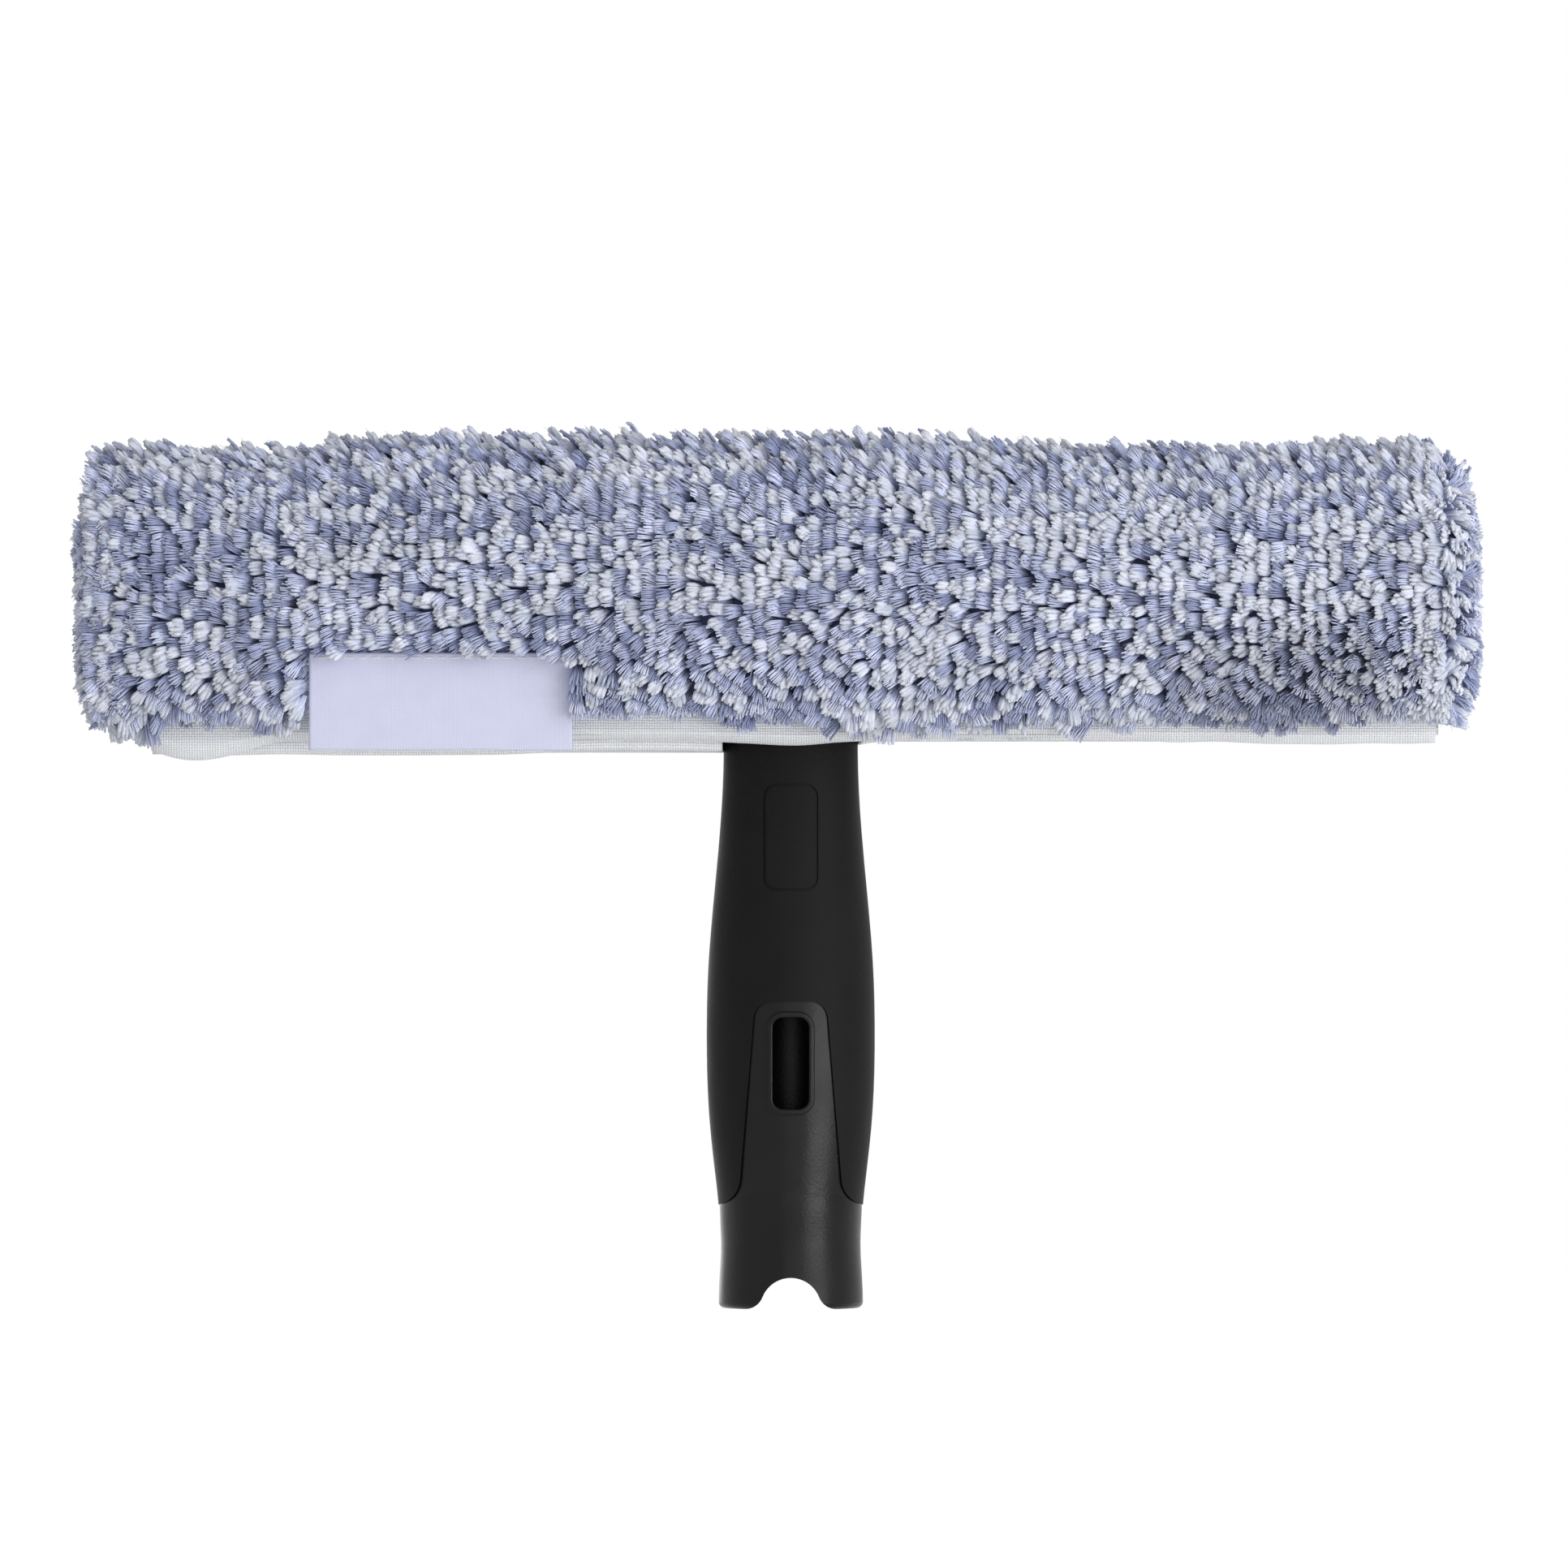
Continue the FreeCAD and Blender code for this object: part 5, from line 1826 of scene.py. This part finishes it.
@dataclass
class ClosureTape:
    """One strip of the sleeve's closing tape, with its hooks or its loops."""

    END_GAP = 0.5
    FOOT_GAP = 0.6
    HEAD_GAP = 0.3
    HOOK_SHAPE = ((0.0, 0.0), (0.0, 0.55), (0.18, 0.9), (0.42, 1.0), (0.6, 0.78))
    HOOK_WIDTH = 0.6
    LOOP_POINTS = 7
    LOOP_WIDTH = 0.42
    TONE = srgb(228, 229, 228)
    TONE_STRAY = (0.9, 1.05)

    effects: EffectGroups
    node: str
    body: str
    kind: Fastener
    lift: float
    squeeze: float
    pitch: float = 1.5 * MM
    web: float = 0.32 * MM
    thread: float = 0.16 * MM
    stray: float = 0.18
    columns: int = 60
    rows: int = 9

    def build(self) -> list[bpy.types.Object]:
        """Builds the woven strip and what stands on it.

        Returns:
            The two pieces.
        """
        low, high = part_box(self.node)
        low.z, high.z = low.z + self.lift, high.z + self.lift
        if self.kind is Fastener.HOOK:
            low.z += self.squeeze
            way, level = -1.0, high.z - self.web / 2
        else:
            high.z -= self.squeeze
            way, level = 1.0, low.z + self.web / 2
        strip = self._strip(low, high, level)
        rng = np.random.default_rng(SEED + len(self.node))
        x, y = np.meshgrid(
            np.arange(low.x + self.pitch, high.x - self.END_GAP * self.pitch, self.pitch),
            np.arange(low.y + self.FOOT_GAP * self.pitch, high.y - self.HEAD_GAP * self.pitch, self.pitch),
            indexing="ij",
        )
        feet = np.stack([x.ravel(), y.ravel(), np.full(x.size, level + way * self.web / 2)], axis=1)
        feet[:, :2] += self.stray * self.pitch * rng.standard_normal((len(feet), 2))
        room = (high.z - low.z) - self.web - self.thread
        pile = self._standing(feet, way * room, rng)
        for piece in (strip, pile):
            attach(piece, self.body)
        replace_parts(strip, self.node)
        return [strip, pile]

    def _strip(self, low: Vector, high: Vector, level: float) -> bpy.types.Object:
        """Weaves the flat strip.

        Args:
            low: Lowest corner of the tape.
            high: Highest corner of the tape.
            level: Height of the strip's middle.

        Returns:
            The piece.
        """
        x, y = np.linspace(low.x, high.x, self.columns), np.linspace(low.y, high.y, self.rows)
        along, across = np.meshgrid(x, y, indexing="ij")
        points = np.stack([along, across, np.full_like(along, level)], axis=-1).reshape(-1, 3)
        faces = grid_faces(self.columns, self.rows)
        strip = mesh_piece(f"{self.node}_web", points, faces, TAPE_WEAVE.material(self.effects))
        lay_flat(strip, CLOTH_MAP, points[:, :2])
        thicken(strip, self.web)
        return strip

    def _standing(self, feet: np.ndarray, tall: float, rng: np.random.Generator) -> bpy.types.Object:
        """Draws the hooks, or the loops, that stand on the strip.

        Args:
            feet: Where each one is rooted.
            tall: How far it stands up, with its sign.
            rng: Seeded random numbers.

        Returns:
            The piece.
        """
        turn = rng.uniform(-0.5, 0.5, len(feet)) + (0.0 if self.kind is Fastener.HOOK else math.pi / 2)
        way = np.stack([np.cos(turn), np.sin(turn), 0 * turn], axis=1)[:, None]
        if self.kind is Fastener.HOOK:
            shape, width = np.array(self.HOOK_SHAPE), self.HOOK_WIDTH * self.pitch
        else:
            swing = np.linspace(0.0, math.pi, self.LOOP_POINTS)
            shape, width = np.stack([-np.cos(swing), np.sin(swing)], axis=1), self.LOOP_WIDTH * self.pitch
        aside, rise = (shape * [width, tall]).T[:, None, :, None]
        lines = feet[:, None] + way * aside + UP * rise
        radii = np.full(len(feet), self.thread / 2)
        points, faces = strand_tubes(lines, np.cross(way[:, 0], UP), radii, np.ones(len(shape)))
        piece = mesh_piece(f"{self.node}_{self.kind.value}s", points, faces, TAPE_YARN.material(self.effects))
        tone = np.array(self.TONE[:3]) * rng.uniform(*self.TONE_STRAY, (len(feet), 1))
        paint(piece, YARN_COLOUR, np.repeat(tone, len(points) // len(feet), axis=0))
        return piece


@dataclass
class WovenLabel:
    """The bare woven label that hangs from a seam on the front of the pile."""

    STITCH_ALONG = (0.0, 0.2, 0.5, 0.8, 1.0)
    STITCH_LIFT = (0.0, 0.8, 1.0, 0.8, 0.0)
    STITCH_SHARE = 0.6
    STITCH_SIDES = 6
    STITCH_STOP = 1.5
    FALL_LENGTH = 0.5

    effects: EffectGroups
    cloth: float = 0.55 * MM
    drop: float = 0.8 * MM
    columns: int = 90
    rows: int = 34
    foot_band: float = 0.5 * MM
    top_band: float = 0.8 * MM
    top_gap: float = 0.3 * MM
    bow: float = 0.3 * MM
    ripple: float = 0.22 * MM
    ripple_length: float = 24 * MM
    flat_top: float = 0.25
    hem_ripple: float = 0.18 * MM
    hem_length: float = 20 * MM
    stitch: float = 2.4 * MM
    stitch_gap: float = 0.9 * MM
    seam: float = 1.6 * MM
    thread: float = 0.32 * MM

    def build(self) -> list[bpy.types.Object]:
        """Builds the label and the row of stitches along its top.

        Returns:
            The two pieces.
        """
        low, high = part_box("label")
        packed = np.array([vertex.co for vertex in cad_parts["label"].data.vertices])
        foot_y = packed[packed[:, 2] < low.z + self.foot_band, 1].mean()
        top_y = packed[packed[:, 2] > high.z - self.top_band, 1].mean()
        x, down = np.linspace(low.x, high.x, self.columns), np.linspace(0.0, 1.0, self.rows)
        along, fall = np.meshgrid(x, down, indexing="ij")
        ripple = Streaks(Wander.LABEL_RIPPLE.value, self.ripple_length, self.FALL_LENGTH).at(along, fall)
        ripple = self.ripple * ripple
        bow = self.bow * np.sin(math.pi * fall) + ripple
        y = top_y + (foot_y - top_y) * fall - bow * smooth_step(fall, 0.0, self.flat_top)
        top, foot = high.z - self.top_gap, low.z - self.drop
        hem = Streaks(Wander.LABEL_HEM.value, self.hem_length, self.FALL_LENGTH).at(along, fall)
        hem = self.hem_ripple * hem
        z = top + (foot - top + hem) * fall
        points = np.stack([along, y, z], axis=-1).reshape(-1, 3)
        faces = grid_faces(self.columns, self.rows)
        label = mesh_piece("woven_label", points, faces, LABEL_WEAVE.material(self.effects))
        height = float(high.z - low.z + self.drop)
        lay_flat(label, CLOTH_MAP, np.stack([along, fall * height], axis=-1).reshape(-1, 2))
        thicken(label, self.cloth)
        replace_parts(label, "label")
        stitches = self._stitches(low, high, top_y)
        for piece in (label, stitches):
            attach(piece, "label")
        return [label, stitches]

    def _stitches(self, low: Vector, high: Vector, y: float) -> bpy.types.Object:
        """Sews the label's top edge.

        Args:
            low: Lowest corner of the label.
            high: Highest corner of the label.
            y: Place of the label's top edge across the bar.

        Returns:
            The piece.
        """
        stop = high.x - self.STITCH_STOP * self.stitch
        start = np.arange(low.x + self.stitch, stop, self.stitch + self.stitch_gap)
        along, lift = np.array(self.STITCH_ALONG), np.array(self.STITCH_LIFT) * self.thread
        lines = np.zeros((len(start), len(along), 3))
        lines[..., 0] = start[:, None] + along * self.stitch
        lines[..., 1] = y - self.cloth / 2 - lift * self.STITCH_SHARE
        lines[..., 2] = high.z - self.seam
        aside = np.tile(UP, (len(start), 1))
        radii = np.full(len(start), self.thread / 2)
        points, faces = strand_tubes(lines, aside, radii, np.ones(len(along)), self.STITCH_SIDES)
        piece = mesh_piece("label_stitches", points, faces, STITCH_THREAD.material(self.effects))
        lay_flat(piece, CLOTH_MAP, points[:, [0, 2]])
        return piece


@dataclass
class HandleAndBar:
    """The moulded handle, its grip, and the bar with its caps and screws, dressed as they are modelled."""

    WEAR = {
        "handle_core": (CORE_PLASTIC, "core_plastic"),
        "grip_cover": (GRIP_RUBBER, "grip_rubber"),
        "bar_tube": (BAR_PLASTIC, "bar_plastic"),
        "bar_insert": (BAR_PLASTIC, "bar_plastic"),
        "bar_cap_left": (CAP_PLASTIC, "cap_plastic"),
        "bar_cap_right": (CAP_PLASTIC, "cap_plastic"),
        "bar_screws": (SCREW_STEEL, "screw_steel"),
    }

    effects: EffectGroups

    def dress(self) -> list[bpy.types.Object]:
        """Gives each rigid node its finish.

        Returns:
            The dressed nodes.
        """
        finishes = dict.fromkeys(finish for finish, _ in self.WEAR.values())
        made = {finish: finish.material(self.effects) for finish in finishes}
        dressed = []
        for name, (finish, slot) in self.WEAR.items():
            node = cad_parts[name]
            node.data.materials.clear()
            node.data.materials.append(made[finish])
            dressed.append(node)
        return dressed


@dataclass(frozen=True)
class Lamp:
    """One soft area light."""

    name: str
    place: tuple[float, float, float]
    wide: float
    high: float
    power: float


@dataclass
class Studio:
    """White surroundings, a pale floor, soft lights and the camera."""

    LAMPS = (
        Lamp("key_from_right", (1.5, -1.0, 0.7), 0.9, 0.9, power=7.8),
        Lamp("front_soft", (0.5, -1.9, 0.35), 1.8, 1.8, power=9.8),
        Lamp("low_strip_from_right", (0.92, -1.02, -0.03), 0.75, 0.18, power=5.5),
        Lamp("fill_from_left", (-1.2, -1.1, 0.45), 1.2, 1.2, power=0.8),
        Lamp("top_soft", (0.0, 0.1, 1.5), 1.2, 1.2, power=0.6),
        Lamp("rear_soft", (-0.4, 1.7, 0.4), 1.4, 1.4, power=8.0),
    )
    WHITE = (1.0, 1.0, 1.0, 1.0)
    FLOOR_COLOUR = (0.9, 0.9, 0.9, 1.0)

    distance: float = 4.0
    aim_x: float = -1.7 * MM
    aim_z: float = 132.0 * MM
    view_width: float = 395.3 * MM
    sensor: float = 36.0
    floor_level: float = -0.14
    floor_size: float = 8.0
    floor_roughness: float = 0.9
    floor_lift: float = 0.46
    sky: float = 0.67

    def build(self) -> None:
        """Builds everything and sets the scene's camera and view."""
        self._world()
        self._floor()
        for lamp in self.LAMPS:
            self._light(lamp)
        self._camera()
        bpy.context.scene.view_settings.view_transform = "Standard"

    @staticmethod
    def _seen(bench: NodeBench) -> bpy.types.NodeSocket:
        """Adds the test for rays that show the background.

        Args:
            bench: Where the nodes go.

        Returns:
            Socket that is 1 for such rays.
        """
        path = bench.add("ShaderNodeLightPath")
        mirror = bench.math("MAXIMUM", path.outputs["Is Glossy Ray"], path.outputs["Is Transmission Ray"])
        return bench.math("MAXIMUM", path.outputs["Is Camera Ray"], mirror)

    def _world(self) -> None:
        """Makes the world white where it is seen and softly bright where it lights."""
        world = bpy.data.worlds.new("white_studio")
        bpy.context.scene.world = world
        world.use_nodes = True
        world.node_tree.nodes.clear()
        bench = NodeBench(world.node_tree)
        light = bench.add("ShaderNodeBackground", {"Color": self.WHITE, "Strength": self.sky})
        white = bench.add("ShaderNodeBackground", {"Color": self.WHITE, "Strength": 1.0})
        shades = {0: self._seen(bench), 1: light.outputs[0], 2: white.outputs[0]}
        both = bench.add("ShaderNodeMixShader", shades)
        bench.add("ShaderNodeOutputWorld", {0: both.outputs[0]})

    def _floor(self) -> None:
        """Lays the pale floor, which is lifted to white where the camera sees it and keeps its shadow."""
        finish, bench, shader = new_finish("pale_floor")
        dress = {"Base Color": self.FLOOR_COLOUR, "Roughness": self.floor_roughness}
        bench.wire(shader, {**dress, "Specular IOR Level": 0.0})
        glow = bench.math("MULTIPLY", self._seen(bench), self.floor_lift)
        lift = bench.add("ShaderNodeEmission", {"Color": self.WHITE, "Strength": glow})
        both = bench.add("ShaderNodeAddShader", {0: shader.outputs[0], 1: lift.outputs[0]})
        bench.wire(bench.tree.nodes["Material Output"], {0: both.outputs[0]})
        half = self.floor_size / 2
        corners = np.array([[-half, -half], [half, -half], [half, half], [-half, half]])
        points = np.concatenate([corners, np.full((len(corners), 1), self.floor_level)], axis=1)
        mesh_piece("pale_floor", points, np.arange(len(corners))[None], finish)

    def _light(self, lamp: Lamp) -> None:
        """Hangs one soft area light, aimed at the sleeve.

        Args:
            lamp: The light.
        """
        light = bpy.data.lights.new(lamp.name, "AREA")
        light.shape = "RECTANGLE"
        light.size, light.size_y, light.energy = lamp.wide, lamp.high, lamp.power
        holder = bpy.data.objects.new(lamp.name, light)
        holder.location = lamp.place
        aim = Vector((0.0, 0.0, self.aim_z)) - holder.location
        holder.rotation_euler = aim.to_track_quat("-Z", "Y").to_euler()
        bpy.context.scene.collection.objects.link(holder)

    def _camera(self) -> None:
        """Sets a level camera in front of the scrubber, far enough away to keep it flat."""
        lens = bpy.data.cameras.new("front_camera")
        lens.sensor_width = self.sensor
        lens.lens = self.sensor * self.distance / self.view_width
        camera = bpy.data.objects.new("front_camera", lens)
        camera.location = (self.aim_x, -self.distance, self.aim_z)
        camera.rotation_euler = (math.pi / 2, 0.0, 0.0)
        bpy.context.scene.collection.objects.link(camera)
        bpy.context.scene.camera = camera


PILE_ARCH = 27.4 * MM
PILE_HEM = 18.6 * MM
PILE_HALF = 29.6 * MM
PILE_EDGE = 5.0 * MM
LINING_ARCH = 12.2 * MM
LINING_HALF = 16.3 * MM
LINING_FOOT = 3.0 * MM
LINING_MIDDLE = 0.7 * MM
LINING_EDGE = 0.05 * MM
LABEL_DEPTH = 5.2 * MM
TAPES = {Side.FRONT: (Fastener.HOOK, 1.7 * MM), Side.REAR: (Fastener.LOOP, 2.75 * MM)}
TAPE_SQUEEZE = 1 / 6


def pile_section() -> SleeveSection:
    """Reads the pile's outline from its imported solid."""
    low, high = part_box("pile_wrap")
    return SleeveSection(PILE_HEM, PILE_HALF, low.z, PILE_ARCH, high.z - PILE_ARCH, PILE_EDGE)


def lining_section() -> SleeveSection:
    """Reads the lining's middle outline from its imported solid.

    Returns:
        The outline.
    """
    low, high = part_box("lining_wrap")
    centre = high.z - LINING_MIDDLE - LINING_ARCH
    return SleeveSection(LINING_HALF, LINING_HALF, low.z + LINING_FOOT, LINING_ARCH, centre, LINING_EDGE)


def closing_tapes(effects: EffectGroups) -> dict[Side, list[bpy.types.Object]]:
    """Builds the hook and loop tapes, those on the right raised with their flaps.

    Args:
        effects: The shared node groups.

    Returns:
        The pieces of each side.
    """
    tapes: dict[Side, list[bpy.types.Object]] = {}
    for side, (kind, lift) in TAPES.items():
        tapes[side] = []
        for end in End:
            raised = lift if end is End.RIGHT else 0.0
            node = f"{kind.value}_tape_{end.name.lower()}"
            body = f"{side.name.lower()}_flap"
            tapes[side] += ClosureTape(effects, node, body, kind, raised, raised * TAPE_SQUEEZE).build()
    return tapes


def report(pieces: list[bpy.types.Object]) -> None:
    """Logs each piece with its faces."""
    for piece in pieces:
        LOG.info("%s: %d faces", piece.name, len(piece.data.polygons))


def main() -> None:
    """Builds the scrubber's looks piece by piece, then the studio."""
    logging.basicConfig(level=logging.INFO, format="%(name)s: %(message)s")
    effects = EffectGroups()
    label_low, label_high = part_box("label")
    pile = PileCoat(
        effects, pile_section(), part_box("pile_end_left")[0].x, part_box("pile_end_right")[1].x,
        label_low.x, label_high.x, label_high.z, LABEL_DEPTH,
    )
    lining_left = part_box("lining_end_left")[0].x + LINING_MIDDLE
    lining_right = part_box("lining_end_right")[1].x - LINING_MIDDLE
    report(HandleAndBar(effects).dress())
    report(LiningSock(effects, lining_section(), lining_left, lining_right).build())
    tapes = closing_tapes(effects)
    for side in Side:
        report(tapes[side])
    report(MouthCanvas(effects, tapes).build())
    report(pile.build())
    report(WovenLabel(effects).build())
    Studio().build()


if __name__ == "__main__":
    main()
